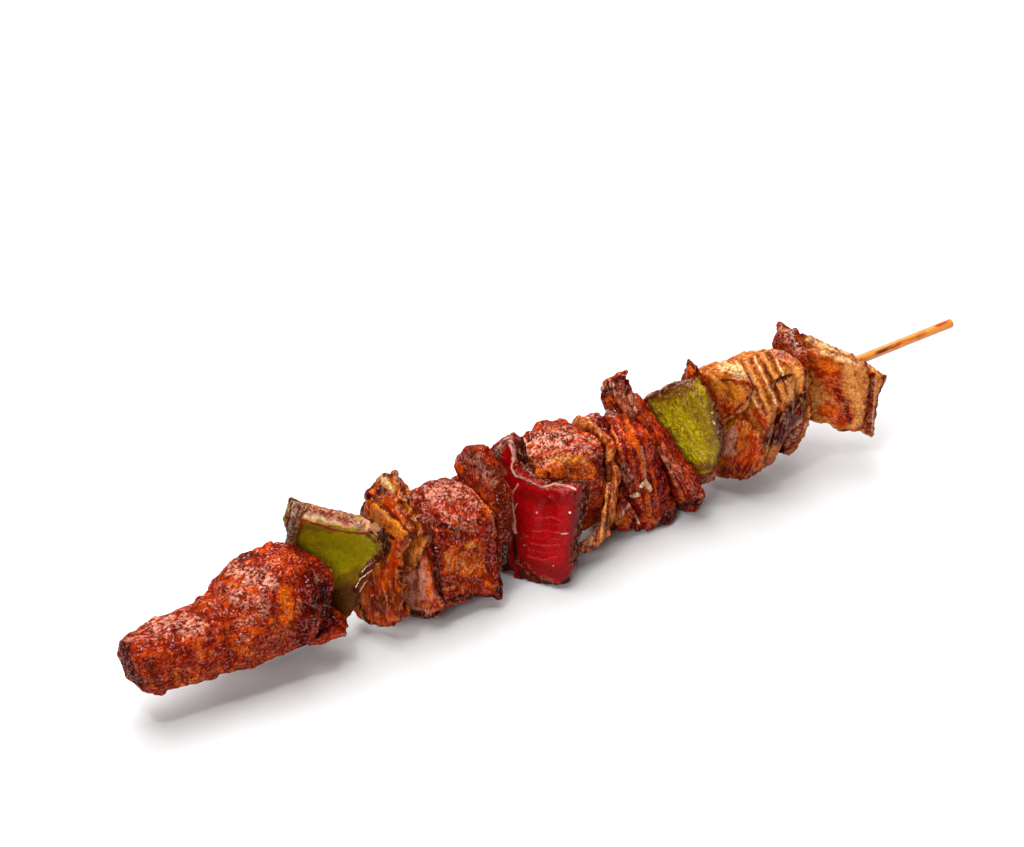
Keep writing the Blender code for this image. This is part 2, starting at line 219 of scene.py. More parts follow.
def skin(node, cell, softness):
    """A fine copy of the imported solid, from faces of cell mm, after softness rounds of smoothing."""
    obj = bpy.data.objects.new("cooked_" + node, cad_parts[node].data.copy())
    bpy.context.scene.collection.objects.link(obj)
    only(obj)
    bpy.ops.object.mode_set(mode="EDIT")
    bpy.ops.mesh.select_all(action="SELECT")
    bpy.ops.mesh.remove_doubles(threshold=0.00001)
    bpy.ops.object.mode_set(mode="OBJECT")
    finish_with(obj, "REMESH", mode="VOXEL", voxel_size=cell * MM)
    finish_with(obj, "SMOOTH", factor=0.5, iterations=softness)
    fair = points(obj)
    finish_with(obj, "SMOOTH", factor=0.5, iterations=BLUNTING)
    blunt = points(obj)
    place(obj, fair)
    convex = np.einsum("ij,ij->i", fair - blunt, normals(obj))
    note(obj, "rim", convex / np.percentile(convex, FULL_RIM))
    note(obj, "near", closeness(node, fair))
    finish_with(obj, "SUBSURF", levels=1, render_levels=1)
    for name in ("relief", "crust"):
        note(obj, name, np.zeros(len(obj.data.vertices)))
    return obj


def roughen(obj, grain, height, stretch=(1, 1, 1), turn=(0, 0, 0), middle=0.5, share=1.0, shift=0.0,
            into="relief", **settings):
    """Relief on a piece: grain is the size of its lumps and height their full height, in mm.

    stretch draws the lumps out along the axes, which turn turns, in degrees. share, one number or one for
    each vertex, weakens it. The height that each vertex moved is added to what is kept under the name into.
    """
    texture = bpy.data.textures.new(obj.name, "CLOUDS")
    texture.noise_scale = grain
    for name, value in settings.items():
        setattr(texture, name, value)
    guide = bpy.data.objects.new("guide", None)
    bpy.context.scene.collection.objects.link(guide)
    turned = Euler([math.radians(a) for a in turn]).to_matrix().to_4x4()
    drawn_out = Matrix.Diagonal((*[MM * s for s in stretch], 1))
    guide.matrix_world = Matrix.Translation((shift, shift, 0)) @ turned @ drawn_out
    bpy.context.view_layer.update()
    before, outward = points(obj), normals(obj)
    finish_with(
        obj, "DISPLACE", texture=texture, texture_coords="OBJECT", texture_coords_object=guide,
        strength=height * MM, mid_level=middle,
    )
    moved = np.einsum("ij,ij->i", points(obj) - before, outward) * share
    place(obj, before + outward * moved[:, None])
    note(obj, into, recall(obj, into) + moved / MM)
    bpy.data.objects.remove(guide)
    bpy.data.textures.remove(texture)


def photo_ray(px, py):
    """Unit direction from the camera through a point of the picture."""
    right = (px - PICTURE[0] / 2) / PICTURE[0] * SENSOR
    up = (PICTURE[1] / 2 - py) / PICTURE[0] * SENSOR
    return (RIGHT * right + UP * up - BACK * LENS).normalized()


def seen(places):
    """Where places fall in the picture, in pixels, and how far in front of the camera they are, in mm."""
    away = places - np.array(EYE)
    far = -away @ np.array(BACK)
    scale = LENS / SENSOR * PICTURE[0] / far
    across = np.stack([away @ np.array(RIGHT) * scale, -away @ np.array(UP) * scale], axis=1)
    return across + np.array(PICTURE) / 2, far / MM


def behind(surface, px, py):
    """The place on a piece behind a point of the picture, or the nearest to it, and its outward direction."""
    ray = photo_ray(px, py)
    hit, facing, _, _ = surface.ray_cast(EYE, ray)
    if hit is None:
        hit, facing, _, _ = surface.find_nearest(EYE + ray * (-ray.dot(BACK)) * DISTANCE)
        for _ in range(4):
            hit, facing, _, _ = surface.find_nearest(EYE + ray * (hit - EYE).dot(ray))
    return hit, facing


def tree(obj):
    """The surface of a piece as it is now, for rays and nearest points."""
    return BVHTree.FromObject(obj, bpy.context.evaluated_depsgraph_get())


def brush(obj, surface, line, width):
    """How strongly each vertex is touched, 0 to 1, by a stroke along a line of points of the picture.

    width is the stroke's half width in pixels.
    """
    spots, far = seen(points(obj))
    # A few sine waves, of odd lengths and directions, make its edge stray like a sauce's
    x, y = spots.T
    spots = spots + WANDER * np.stack([
        np.sin(0.36 * y + 0.22 * x) + 0.5 * np.sin(0.7 * x - 0.5 * y),
        np.sin(0.40 * x - 0.17 * y) + 0.5 * np.sin(0.6 * y + 0.5 * x),
    ], axis=1) * min(1.0, width / 5)
    line = [np.array(p, float) for p in line]
    if len(line) == 1:
        line = line * 2
    touched = np.zeros(len(spots))
    for start, end in zip(line, line[1:]):
        way = end - start
        along = np.clip((spots - start) @ way / max(way @ way, 1e-9), 0, 1)
        gap = np.linalg.norm(spots - start - along[:, None] * way, axis=1)
        depths = [(-(behind(surface, *p)[0] - EYE).dot(BACK)) / MM for p in (start, end)]
        buried = far - (depths[0] + (depths[1] - depths[0]) * along)
        strength = smoothstep(1.3 - gap / width) * smoothstep(2 - np.abs(buried) / SOAK)
        touched = np.maximum(touched, strength)
    return touched


def sculpt(obj, moves):
    """Drags and presses the skin like soft clay. The last number of a move is along the way it faces."""
    surface = tree(obj)
    places = points(obj)
    for (px, py), reach, (right, up, out) in (moves or {}).values():
        centre, facing = behind(surface, px, py)
        gap = np.linalg.norm(places - np.array(centre), axis=1) / (reach * PIXEL)
        weight = np.clip(1 - gap ** 2, 0, 1) ** 2
        places = places + weight[:, None] * np.array(RIGHT * right + UP * up + facing * out) * PIXEL
    place(obj, places)


def carve(obj, folds):
    """Raises ridges and cuts folds."""
    surface = tree(obj)
    lift = np.zeros(len(obj.data.vertices))
    for high, width, *line in (folds or {}).values():
        lift += high * brush(obj, surface, line, width)
    place(obj, points(obj) + normals(obj) * (lift * MM)[:, None])
    note(obj, "relief", recall(obj, "relief") + lift)


def dried(obj, crackle):
    """How dry the skin is at each vertex, 0 to 1."""
    surface = tree(obj)
    dry = np.zeros(len(obj.data.vertices))
    for share, width, *line in (crackle or {}).values():
        dry = np.maximum(dry, share * brush(obj, surface, line, width))
    note(obj, "dry", dry)
    return dry


def settle(obj, proud=0.1):
    """Moves the whole skin out by proud mm, and keeps it in the box of the solids."""
    moved = points(obj) + normals(obj) * proud * MM
    place(obj, np.clip(moved, LOW, HIGH))
    obj.data.shade_smooth()


def between(first, second, count):
    """That many lines of points, evenly apart from the first line to the second."""
    return [
        [tuple(a + (b - a) * n / (count - 1) for a, b in zip(*pair)) for pair in zip(first, second)]
        for n in range(count)
    ]


def strokes(name, lines, *styles):
    """Named strokes along many lines, which take turns at the styles."""
    return {"%s %d" % (name, n + 1): (*styles[n % len(styles)], *line) for n, line in enumerate(lines)}


class Value:
    """A shader socket that Python's operators work on."""

    def __init__(self, finish, socket):
        self.finish, self.socket = finish, socket

    def maths(self, operation, *numbers):
        return self.finish.node("Math", {"operation": operation}, dict(enumerate(numbers)))

    def __add__(self, other):
        return self.maths("ADD", self, other)

    def __sub__(self, other):
        return self.maths("SUBTRACT", self, other)

    def __rsub__(self, other):
        return self.maths("SUBTRACT", other, self)

    def __mul__(self, other):
        return self.maths("MULTIPLY", self, other)

    def __abs__(self):
        return self.maths("ABSOLUTE", self)

    __radd__ = __add__


class Finish:
    """A material built up in coats, from the ground colour outwards."""

    def __init__(self, name, piece, **constants):
        self.material = bpy.data.materials.new(name)
        self.material.use_nodes = True
        self.tree = self.material.node_tree
        self.shader = self.tree.nodes["Principled BSDF"]
        for socket, number in constants.items():
            self.shader.inputs[socket.replace("_", " ")].default_value = number
        self.piece = piece
        here = self.node("TexCoord", {}, {}, "Object")
        self.here = self.node("VectorMath", {"operation": "SCALE"}, {0: here, "Scale": 1 / MM})
        self.colour, self.rough = None, None

    def node(self, kind, settings, values, output=0):
        """One node: its settings, then the numbers or links of its sockets."""
        made = self.tree.nodes.new("ShaderNode" + kind)
        for name, value in settings.items():
            setattr(made, name, value)
        for key, value in values.items():
            if isinstance(value, Value):
                self.tree.links.new(value.socket, made.inputs[key])
            else:
                made.inputs[key].default_value = value
        return Value(self, made.outputs[output])

    def noise(self, scale, detail=2.0, rough=0.5, distortion=0.0, stretch=None, turn=(0, 0, 0), shift=0.0):
        """Noise with that many lumps in a millimetre."""
        vector = self.here
        if stretch or shift:
            vector = self.node("Mapping", {"vector_type": "TEXTURE"}, {
                "Vector": vector, "Location": (shift, shift, shift),
                "Rotation": [math.radians(a) for a in turn], "Scale": stretch or (1, 1, 1),
            })
        return self.node("TexNoise", {}, {
            "Vector": vector, "Scale": scale, "Detail": detail, "Roughness": rough, "Distortion": distortion,
        })

    def step(self, value, low, high):
        """0 at low, 1 at high, and smooth between. low may be the larger one."""
        return self.node("MapRange", {"interpolation_type": "SMOOTHSTEP"}, {
            "Value": value, "From Min": low, "From Max": high,
        })

    def strands(self, scale, stretch=None, turn=(0, 0, 0), shift=0.0, thin=0.10):
        """Irregular curling lines, where a noise crosses its middle."""
        crossing = abs(self.noise(scale, 2, 0.55, 0.7, stretch, turn, shift) - 0.5)
        return 1 - self.step(crossing, thin * 0.3, thin)

    def noted(self, name):
        """The numbers that note keeps on the piece under a name."""
        return self.node("Attribute", {"attribute_name": name}, {}, "Fac")

    def ground(self, paint):
        self.colour, self.rough = paint

    def coat(self, share, paint):
        """Lays a colour and its roughness over what is there, by a share from 0 to 1."""
        first, second = ((*c, 1) if isinstance(c, tuple) else c for c in (self.colour, paint[0]))
        self.colour = self.node("Mix", {"data_type": "RGBA"}, {0: share, 6: first, 7: second}, 2)
        self.rough = self.node("Mix", {"data_type": "FLOAT"}, {0: share, 2: self.rough, 3: paint[1]})

    def shade(self, factor):
        """Darkens or lightens the colour by a factor."""
        self.colour = self.node("VectorMath", {"operation": "SCALE"}, {0: self.colour, "Scale": factor})

    def marks(self, painted, ragged):
        """Paints named strokes, one coat for each paint, with edges that ragged breaks up."""
        surface = tree(self.piece)
        layers = {}
        for paint, share, width, *line in (painted or {}).values():
            touched = share * brush(self.piece, surface, line, width)
            layers[paint] = np.maximum(layers.get(paint, 0), touched)
        for number, (paint, touched) in enumerate(layers.items()):
            name = "mark_%d" % number
            note(self.piece, name, touched)
            self.coat(self.step(self.noted(name) + (ragged - 0.5) * 0.9, 0.1, 0.9), paint)

    def done(self, height, depth, gloss=None):
        """Joins the coats, a fine relief of depth mm, and how wet it is to the shader."""
        bump = self.node("Bump", {}, {"Height": height, "Distance": depth * MM})
        ends = {"Base Color": self.colour, "Roughness": self.rough, "Normal": bump, "Coat Weight": gloss}
        for name, value in ends.items():
            if value is not None:
                self.tree.links.new(value.socket, self.shader.inputs[name])
        self.piece.data.materials.clear()
        self.piece.data.materials.append(self.material)


def serve(obj, node):
    """Hangs a finished piece on the root body, and hides the solid that it stands for."""
    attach(obj, "root")
    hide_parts(node)


def meat(node, seed, marks=None, crackle=None, moves=None, folds=None, charred=0.5, redness=0.5, dark=0.5,
         fibre=(1.8, 1, 1), fibre_turn=(0, 0, 0), lumpy=0.5, soft=16, joined=0.7):
    """A lump of seared meat, whose crust has dried and cracked where crackle says so, into pale curling
    strands that are partly painted sheen.

    charred, redness, dark and joined are shares from 0 to 1: how burnt its rims are, how much of it is red,
    how much is dark, and how much painted shade it gets beside its neighbours. fibre draws its grain out
    along the axes, which fibre_turn turns, lumpy is how rough that grain is, and soft counts the rounds of
    smoothing.
    seed shifts the relief of a piece, so that no two are alike.
    """
    obj = skin(node, MEAT_CELL, soft)
    sculpt(obj, moves)
    roughen(obj, 7.0, 1.6, shift=seed)
    roughen(obj, 3.4, 1.3, shift=seed)
    fibrous = dict(noise_type="HARD_NOISE", noise_depth=1, stretch=fibre, turn=fibre_turn, shift=seed)
    roughen(obj, 1.7, lumpy * 0.7, middle=0.3, **fibrous)
    carve(obj, folds)
    dry = dried(obj, crackle)
    roughen(obj, 0.9, -0.4, middle=0.35, share=0.15 + 0.85 * dry, into="crust", **fibrous)
    settle(obj)
    made = Finish(node + "_sear", obj, Coat_Roughness=0.08, Specular_IOR_Level=0.0, Subsurface_Weight=0.12,
                  Subsurface_Radius=(1.0, 0.25, 0.1), Subsurface_Scale=MM)
    relief, crust, rim, near = (made.noted(name) for name in ("relief", "crust", "rim", "near"))
    dryness = made.noted("dry")
    wide = made.noise(0.16)
    mid = made.noise(0.38, rough=0.45)
    other = made.noise(0.55, shift=17.0)
    fine = made.noise(1.4)
    specks = made.noise(2.2, detail=1, shift=61.0)
    curls = made.strands(0.62, fibre, fibre_turn, thin=0.13)
    cracks = made.strands(0.7, fibre, fibre_turn, 29.0, thin=0.13)
    glints = made.strands(0.9, fibre, fibre_turn, 43.0, thin=0.12)
    broken = made.step(other + (fine - 0.5) * 0.5, 0.38, 0.56)
    # Sear and glaze in broad patches, then the marks
    made.ground(SEAR_BROWN)
    made.coat(made.step(wide, 0.58 - 0.3 * redness, 0.80 - 0.3 * redness), SEAR_RED)
    made.coat(made.step(mid, 0.46, 0.78) * 0.7, ORANGE_GLAZE)
    made.coat(made.step(other, 0.58 - 0.16 * dark, 0.86 - 0.16 * dark) * 0.8, DEEP_RED)
    made.marks(marks, (mid + fine) * 0.5)
    # Fine grain: cracks and specks, painted glints, painted shade in the hollows, and the crust's pale
    # strands, partly painted sheen
    made.shade(0.66 + made.step(fine, 0.30, 0.70) * 0.5)
    made.coat(cracks * (made.step(mid, 0.66, 0.44) * 0.6 + dryness * 0.4), MAROON)
    made.coat(made.step(specks, 0.41, 0.33) * 0.65, MAROON)
    # Pale specks: painted glints
    made.coat(made.step(specks, 0.61, 0.69) * made.step(other, 0.42, 0.58) * 0.26, PINK_CRUST_AND_SHEEN)
    # Painted shade in the carved hollows
    made.coat(made.step(relief, -0.1, -1.1) * 0.8, DEEP_RED)
    # Pale curling strands where it is dry: partly dried crust, partly painted sheen
    made.coat(curls * broken * (dryness * 0.66), PINK_CRUST_AND_SHEEN)
    # Painted glints along fine strands
    made.coat(glints * made.step(other, 0.50, 0.62) * made.step(fine, 0.46, 0.58) * 0.10, PINK_CRUST_AND_SHEEN)
    # Pale on the crust's ridges: painted highlight, partly a dried film
    made.coat(made.step(crust, 0.03, 0.12) * dryness * 0.25, PINK_CRUST_AND_SHEEN)
    # Painted shade in the crust's hollows
    made.coat(made.step(crust, -0.03, -0.10) * (dryness * 0.6 + 0.2), MAROON)
    # Burnt rims, and painted shade where it meets its neighbours
    made.coat(made.step(rim + (mid - 0.5) * 1.6, 0.85, 1.5) * charred, MAROON)
    made.coat(made.step(near + (mid - 0.5) * 0.7, 0.4, 1.0) * joined, MAROON)
    wet = glints * made.step(fine, 0.46, 0.60)
    made.done(fine * 0.8 + curls * (dryness * 0.5 + 0.4) - cracks * 0.4, 0.45, wet * 0.9)
    serve(obj, node)


def leaf(node, seed, softness, waves, ragged, wrinkles, moves, folds, crackle):
    """The skin of a thin piece. waves and ragged, for its rims, are each (size of the lumps, height) in mm.

    wrinkles has the same, and then how they are drawn out and turned.
    """
    obj = skin(node, LEAF_CELL, softness)
    sculpt(obj, moves)
    rim = recall(obj, "rim")
    roughen(obj, *waves, shift=seed)
    roughen(obj, *ragged, share=smoothstep(rim / 0.9 - 0.2), shift=seed, noise_depth=2)
    roughen(obj, *wrinkles, shift=seed)
    carve(obj, folds)
    roughen(obj, 0.9, 0.7, share=dried(obj, crackle), shift=seed, noise_depth=1)
    settle(obj, 0.05)
    return obj


def onion(node, seed, marks=None, moves=None, folds=None, crackle=None, base=OCHRE, light=STRAW,
          brown=CARAMEL, lines=(1, 1, 5), lines_turn=(0, 0, 0), charred=0.8, browned=0.5, ragged=0.9,
          wrinkled=0.3, joined=0.75):
    """A roasted leaf of onion: thin browned edges, a soft grain along it, and ragged charred rims.

    base, light and brown are its paints, and browned is how much of it is brown. lines draws its grain out
    along the axes, which lines_turn turns. ragged and wrinkled are how rough its rims and its face are.
    """
    obj = leaf(node, seed, LEAF_SOFTNESS, (4.5, 0.8), (1.6, ragged * 1.6),
               (1.1, wrinkled, lines, lines_turn), moves, folds, crackle)
    made = Finish(node + "_roast", obj, Coat_Roughness=0.12, Specular_IOR_Level=0.0, Subsurface_Weight=0.1,
                  Subsurface_Radius=(1.2, 0.5, 0.15), Subsurface_Scale=MM)
    relief, rim, near, dryness = (made.noted(name) for name in ("relief", "rim", "near", "dry"))
    mid = made.noise(0.26, rough=0.45)
    other = made.noise(0.6, shift=17.0)
    fine = made.noise(1.6)
    specks = made.noise(2.2, detail=1, shift=61.0)
    grain = made.noise(0.8, stretch=lines, turn=lines_turn)
    veins = made.strands(0.6, lines, lines_turn, thin=0.07)
    shine = made.strands(0.7, lines, lines_turn, 31.0)
    browning = made.step(mid + (other - 0.5) * 0.5, 0.58 - 0.25 * browned, 0.86 - 0.25 * browned)
    made.ground(base)
    made.coat(made.step(grain, 0.36, 0.68) * 0.8, light)
    made.coat(browning * 0.85, brown)
    made.marks(marks, (mid + fine) * 0.5)
    made.shade(0.60 + made.step(fine, 0.30, 0.70) * 0.55)
    made.coat(made.step(specks, 0.42, 0.33) * 0.45, UMBER)
    # Painted shade in the carved hollows
    made.coat(made.step(relief, -0.05, -0.6) * 0.7, UMBER)
    made.coat(veins * made.step(other, 0.46, 0.62) * 0.5, UMBER)
    # Light strands where it shines: a painted highlight, beside the real gloss that shine gives below
    made.coat(shine * made.step(other, 0.54, 0.42) * 0.3, light)
    made.coat(made.strands(0.6, thin=0.16) * dryness * 0.8, MAROON)
    # Pale pink strands where it is dry: partly dried crust, partly painted sheen
    made.coat(made.strands(0.9, shift=23.0) * dryness * 0.6, PINK_CRUST_AND_SHEEN)
    made.coat(made.step(rim + (other - 0.5) * 1.2, 0.65, 1.05) * charred, UMBER)
    made.coat(made.step(rim + (other - 0.5) * 1.0, 1.0, 1.35) * charred, CHAR)
    # Painted shade where it meets its neighbours
    made.coat(made.step(near + (mid - 0.5) * 0.6, 0.5, 1.0) * joined, UMBER)
    made.done(fine * 0.6 + grain * 0.6 + veins * 0.3, 0.35, shine * 0.6)
    serve(obj, node)


def pepper(node, seed, base, light, marks=None, crackle=None, moves=None, folds=None, bumpy=0.3,
           charred=0.8, glossy=0.3, wrinkle=(1, 1, 1), mottle=0.5, depth=0.12, flecked=0.0, streaked=0.2):
    """A square of pepper: smooth skin, and dark edges that have blistered where crackle says so.

    base and light are its paints, and mottle is how much light covers. bumpy is the height of its wrinkles
    and depth that of its fine relief, in mm, and wrinkle draws the wrinkles out along the axes. flecked and
    streaked are shares from 0 to 1, of its dark flecks and pale painted glints, and of its dark streaks.
    """
    obj = leaf(node, seed, PEPPER_SOFTNESS, (5.0, 0.5), (1.3, 1.0), (1.2, bumpy, wrinkle),
               moves, folds, crackle)
    made = Finish(node + "_skin", obj, Coat_Roughness=0.08, Specular_IOR_Level=0.01)
    rim, near, dryness = (made.noted(name) for name in ("rim", "near", "dry"))
    mid = made.noise(0.26, rough=0.45)
    other = made.noise(0.7, shift=17.0)
    fine = made.noise(1.6)
    streaks = made.strands(0.9, (1, 1, 3), shift=53.0, thin=0.09)
    made.ground(base)
    made.coat(made.step(mid + (other - 0.5) * 0.5, 0.40, 0.62) * mottle, light)
    made.marks(marks, (mid + fine) * 0.5)
    made.shade(0.8 + made.step(fine, 0.30, 0.70) * 0.3)
    made.coat(streaks * made.step(mid, 0.36, 0.56) * streaked, UMBER)
    made.coat(made.strands(0.7, shift=11.0, thin=0.2) * made.step(mid, 0.6, 0.4) * flecked, UMBER)
    # Pale flecks: painted glints
    made.coat(made.strands(0.8, shift=5.0, thin=0.06) * made.step(other, 0.5, 0.56) * flecked, CREAM)
    made.coat(made.strands(0.6, thin=0.2) * dryness * 0.9, MAROON)
    made.coat(made.strands(0.9, shift=23.0, thin=0.07) * made.step(other, 0.44, 0.52) * dryness * 0.6, TAN)
    made.coat(made.step(rim + (other - 0.5) * 1.0, 0.70, 1.1) * charred, UMBER)
    made.coat(made.step(rim + (fine - 0.5) * 1.0, 1.0, 1.3) * charred, CHAR)
    # Painted shade where it meets its neighbours
    made.coat(made.step(near + (mid - 0.5) * 0.6, 0.5, 1.0) * 0.8, UMBER)
    made.done(fine + made.strands(0.75, thin=0.14) * dryness, depth, (1 - dryness) * glossy)
    serve(obj, node)


def stick():
    """The bamboo stick: a round rod drawn out in fibres, cut flat outside and pointed inside the food."""
    low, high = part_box("skewer")
    radius = (high.z - low.z) / 2
    bpy.ops.mesh.primitive_cylinder_add(
        vertices=STICK_SIDES, radius=radius, depth=high.x - low.x, end_fill_type="NGON",
        location=(low + high) / 2, rotation=(0, math.radians(90), 0),
    )
    obj = bpy.context.object
    bpy.ops.object.transform_apply(location=True, rotation=True, scale=True)
    obj.name = "bamboo_stick"
    bpy.ops.object.mode_set(mode="EDIT")
    bm = bmesh.from_edit_mesh(obj.data)
    bpy.ops.mesh.select_all(action="DESELECT")
    for edge in bm.edges:
        edge.select = abs((edge.verts[0].co - edge.verts[1].co).x) > radius
    bmesh.update_edit_mesh(obj.data)
    bpy.ops.mesh.subdivide(number_cuts=STICK_CUTS)
    bpy.ops.object.mode_set(mode="OBJECT")
    finish_with(obj, "BEVEL", width=STICK_BEVEL * MM, segments=2, limit_method="ANGLE")
    note(obj, "relief", np.zeros(len(obj.data.vertices)))
    roughen(obj, 0.5, 0.12, stretch=(20, 1, 1), middle=1.0)
    coordinates = points(obj)
    pointed = np.clip((coordinates[:, 0] - low.x) / (STICK_TIP * MM), 0.02, 1.0)[:, None]
    centre = np.array([(low.y + high.y) / 2, (low.z + high.z) / 2])
    coordinates[:, 1:] = centre + (coordinates[:, 1:] - centre) * pointed
    place(obj, coordinates)
    obj.data.shade_smooth()
    made = Finish("bamboo", obj, Coat_Weight=0.15, Coat_Roughness=0.3)
    grain = made.noise(2.5, 3, 0.6, stretch=(30, 1, 1))
    stain = made.noise(0.35, 3, 0.6, stretch=(2, 1, 1))
    made.ground(BAMBOO)
    made.coat(made.step(grain, 0.5, 0.7) * 0.5, STRAW)
    made.coat(made.step(stain, 0.50, 0.64) * 0.7, OCHRE)
    made.marks({
        "sauce near the food": (UMBER, 0.8, 2.5, (877, 353), (890, 347)),
        "sauce further out": (CARAMEL, 0.7, 2, (893, 348), (900, 343)),
        "long stain": (OCHRE, 0.7, 1.5, (898, 343), (925, 334)),
        "scorched by the end": (CARAMEL, 0.8, 2.5, (938, 325), (944, 323)),
    }, grain)
    made.done(grain, 0.1)
    serve(obj, "skewer")


def first_meats():
    """The seared lumps of the near end, and the dark one with a flap behind them."""
    meat("meat_1", 0.010, charred=0.6, soft=45, joined=0.3, marks={
        "dark end": (MAROON, 0.75, 8, (123, 645), (128, 665), (140, 684)),
        "scorched hollow": (DEEP_RED, 0.8, 6, (172, 645), (188, 653)),
        "scorched low side": (MAROON, 0.6, 8, (150, 662), (158, 684)),
        "clear glaze low": (ORANGE_GLAZE, 0.8, 5, (175, 672), (180, 684)),
        "clear glaze by the join": (ORANGE_GLAZE, 0.7, 4, (197, 645), (201, 657)),
        "clear glaze along the foot": (ORANGE_GLAZE, 0.6, 4, (185, 682), (202, 678)),
    }, crackle={
        "dry top": (0.8, 12, (150, 625), (175, 622), (198, 628)),
        "dry end": (0.4, 8, (126, 640), (138, 632)),
    }, moves={
        "pointed low corner": ((158, 692), 13, (5, -8, 0)),
        "flattened low end": ((134, 685), 12, (4, 3, 0)),
        "full shoulder": ((150, 616), 14, (0, 1.5, 0)),
        "filled join": ((200, 612), 14, (0, 2, 2)),
    }, folds={
        "filled join": (1.0, 6, (201, 604), (214, 622), (222, 645), (224, 668)),
    })

    meat("meat_2", 0.020, charred=0.35, fibre_turn=(0, 35, 20), joined=0.2, marks={
        "oval of clear glaze": (ORANGE_GLAZE, 1.0, 9, (285, 592), (288, 622)),
        "gold in the oval": (GOLD_GLAZE_AND_GLINT, 0.4, 5, (285, 596), (287, 612)),
        "glaze beside the oval": (ORANGE_GLAZE, 0.7, 6, (272, 618), (277, 634)),
        "dark line round the oval": (DEEP_RED, 0.8, 2, (274, 590), (276, 600)),
        # Painted shade down the far flank, beside the dark lump and the green pepper
        "dark flank": (DEEP_RED, 1.0, 10, (306, 580), (307, 612), (302, 640)),
        "darkest flank": (MAROON, 0.8, 5, (312, 570), (316, 595), (314, 620)),
        "glaze low down": (ORANGE_GLAZE, 0.8, 5, (236, 648), (252, 653)),
        # A painted orange highlight low by the join
        "glaze by the join": (GOLD_GLAZE_AND_GLINT, 0.8, 3, (207, 670), (212, 668)),
        "glaze above the join": (GOLD_GLAZE_AND_GLINT, 0.6, 4, (203, 602), (208, 606)),
        "dark by the join": (MAROON, 0.7, 5, (213, 652), (219, 660)),
        "purple top edge": (MAROON, 0.7, 4, (240, 562), (247, 553), (256, 556)),
        **strokes("burnt speck", [[(234, 571)], [(243, 570)]], (CHAR, 1.0, 2)),
        "small burnt speck": (CHAR, 0.8, 1.5, (245, 573)),
        "burnt rim of the dry patch": (MAROON, 0.8, 2, (252, 572), (264, 577), (276, 583)),
        # A painted glint down the crease
        "painted golden glint line": (GOLD_GLAZE_AND_GLINT, 0.9, 2.5, (299, 600), (301, 614)),
    }, crackle={
        "dry top": (1.0, 11, (234, 570), (250, 576), (268, 582)),
        "dry bands": (0.7, 10, (226, 592), (246, 600), (262, 608)),
        "dry spot": (0.7, 5, (237, 624), (250, 621)),
        "dry line low": (0.8, 4, (238, 639), (246, 640)),
        "dry join": (0.6, 5, (212, 655), (218, 660)),
    }, folds={
        "edge of the oval": (-0.5, 2.5, (276, 588), (274, 606), (277, 625)),
        "far edge of the oval": (-0.6, 2.5, (295, 585), (297, 605), (294, 628)),
        "band under the dry top": (0.4, 5, (226, 592), (246, 601), (264, 611)),
        "filled join": (1.0, 6, (203, 602), (222, 620), (229, 640), (229, 664)),
        "filled seam": (1.4, 6, (286, 554), (300, 568), (310, 590), (314, 616), (308, 636)),
    }, moves={
        "knob on the top": ((246, 553), 8, (-1, 4, 0)),
        "second knob": ((268, 547), 8, (1, 5, 0)),
        "dip between them": ((257, 550), 6, (0, -3, 0)),
        "shoulder of the lump": ((206, 602), 16, (-5, 0, 0)),
        "side of the lump": ((222, 640), 20, (-5, 0, -1)),
        "foot by the flap": ((281, 649), 8, (3, 4, 0)),
        "far side pushed out high": ((294, 566), 12, (6, 0, 0)),
        "far side pushed out": ((305, 592), 14, (7, 0, 0)),
        "far side pushed out low": ((306, 622), 14, (7, 0, 0)),
    })

    meat("meat_3", 0.030, charred=0.3, dark=0.9, redness=0.9, joined=0.3, marks={
        # Painted shade on the side under the green pepper
        "dark side": (DEEP_RED, 1.0, 17, (320, 588), (322, 618)),
        "darkest hollow": (MAROON, 1.0, 11, (318, 585), (324, 606), (314, 632)),
        "bright thin flap": (BRIGHT_RED, 1.0, 4, (302, 646), (322, 641), (342, 633)),
        "red top": (BRIGHT_RED, 0.8, 6, (287, 563), (302, 571), (312, 578)),
        "glaze on the top": (ORANGE_GLAZE, 0.8, 3, (283, 573), (296, 574)),
    }, crackle={
        "dry top edge": (0.5, 5, (290, 560), (306, 570), (316, 580)),
    }, folds={
        "filled seam": (1.8, 6, (290, 554), (304, 568), (314, 590), (318, 616), (312, 634)),
        "thin edge of the flap": (0.5, 3, (300, 648), (322, 642), (343, 632)),
        "hollow over the flap": (-0.8, 5, (300, 636), (320, 630), (334, 622)),
    }, moves={
        "flap drawn out": ((340, 634), 12, (5, -1, 0)),
        "corner drawn in": ((349, 608), 26, (-22, 0, -6)),
        "side drawn in": ((336, 588), 20, (-12, 0, -4)),
        "pushed up to the lump": ((312, 600), 16, (-6, 0, 3)),
    })


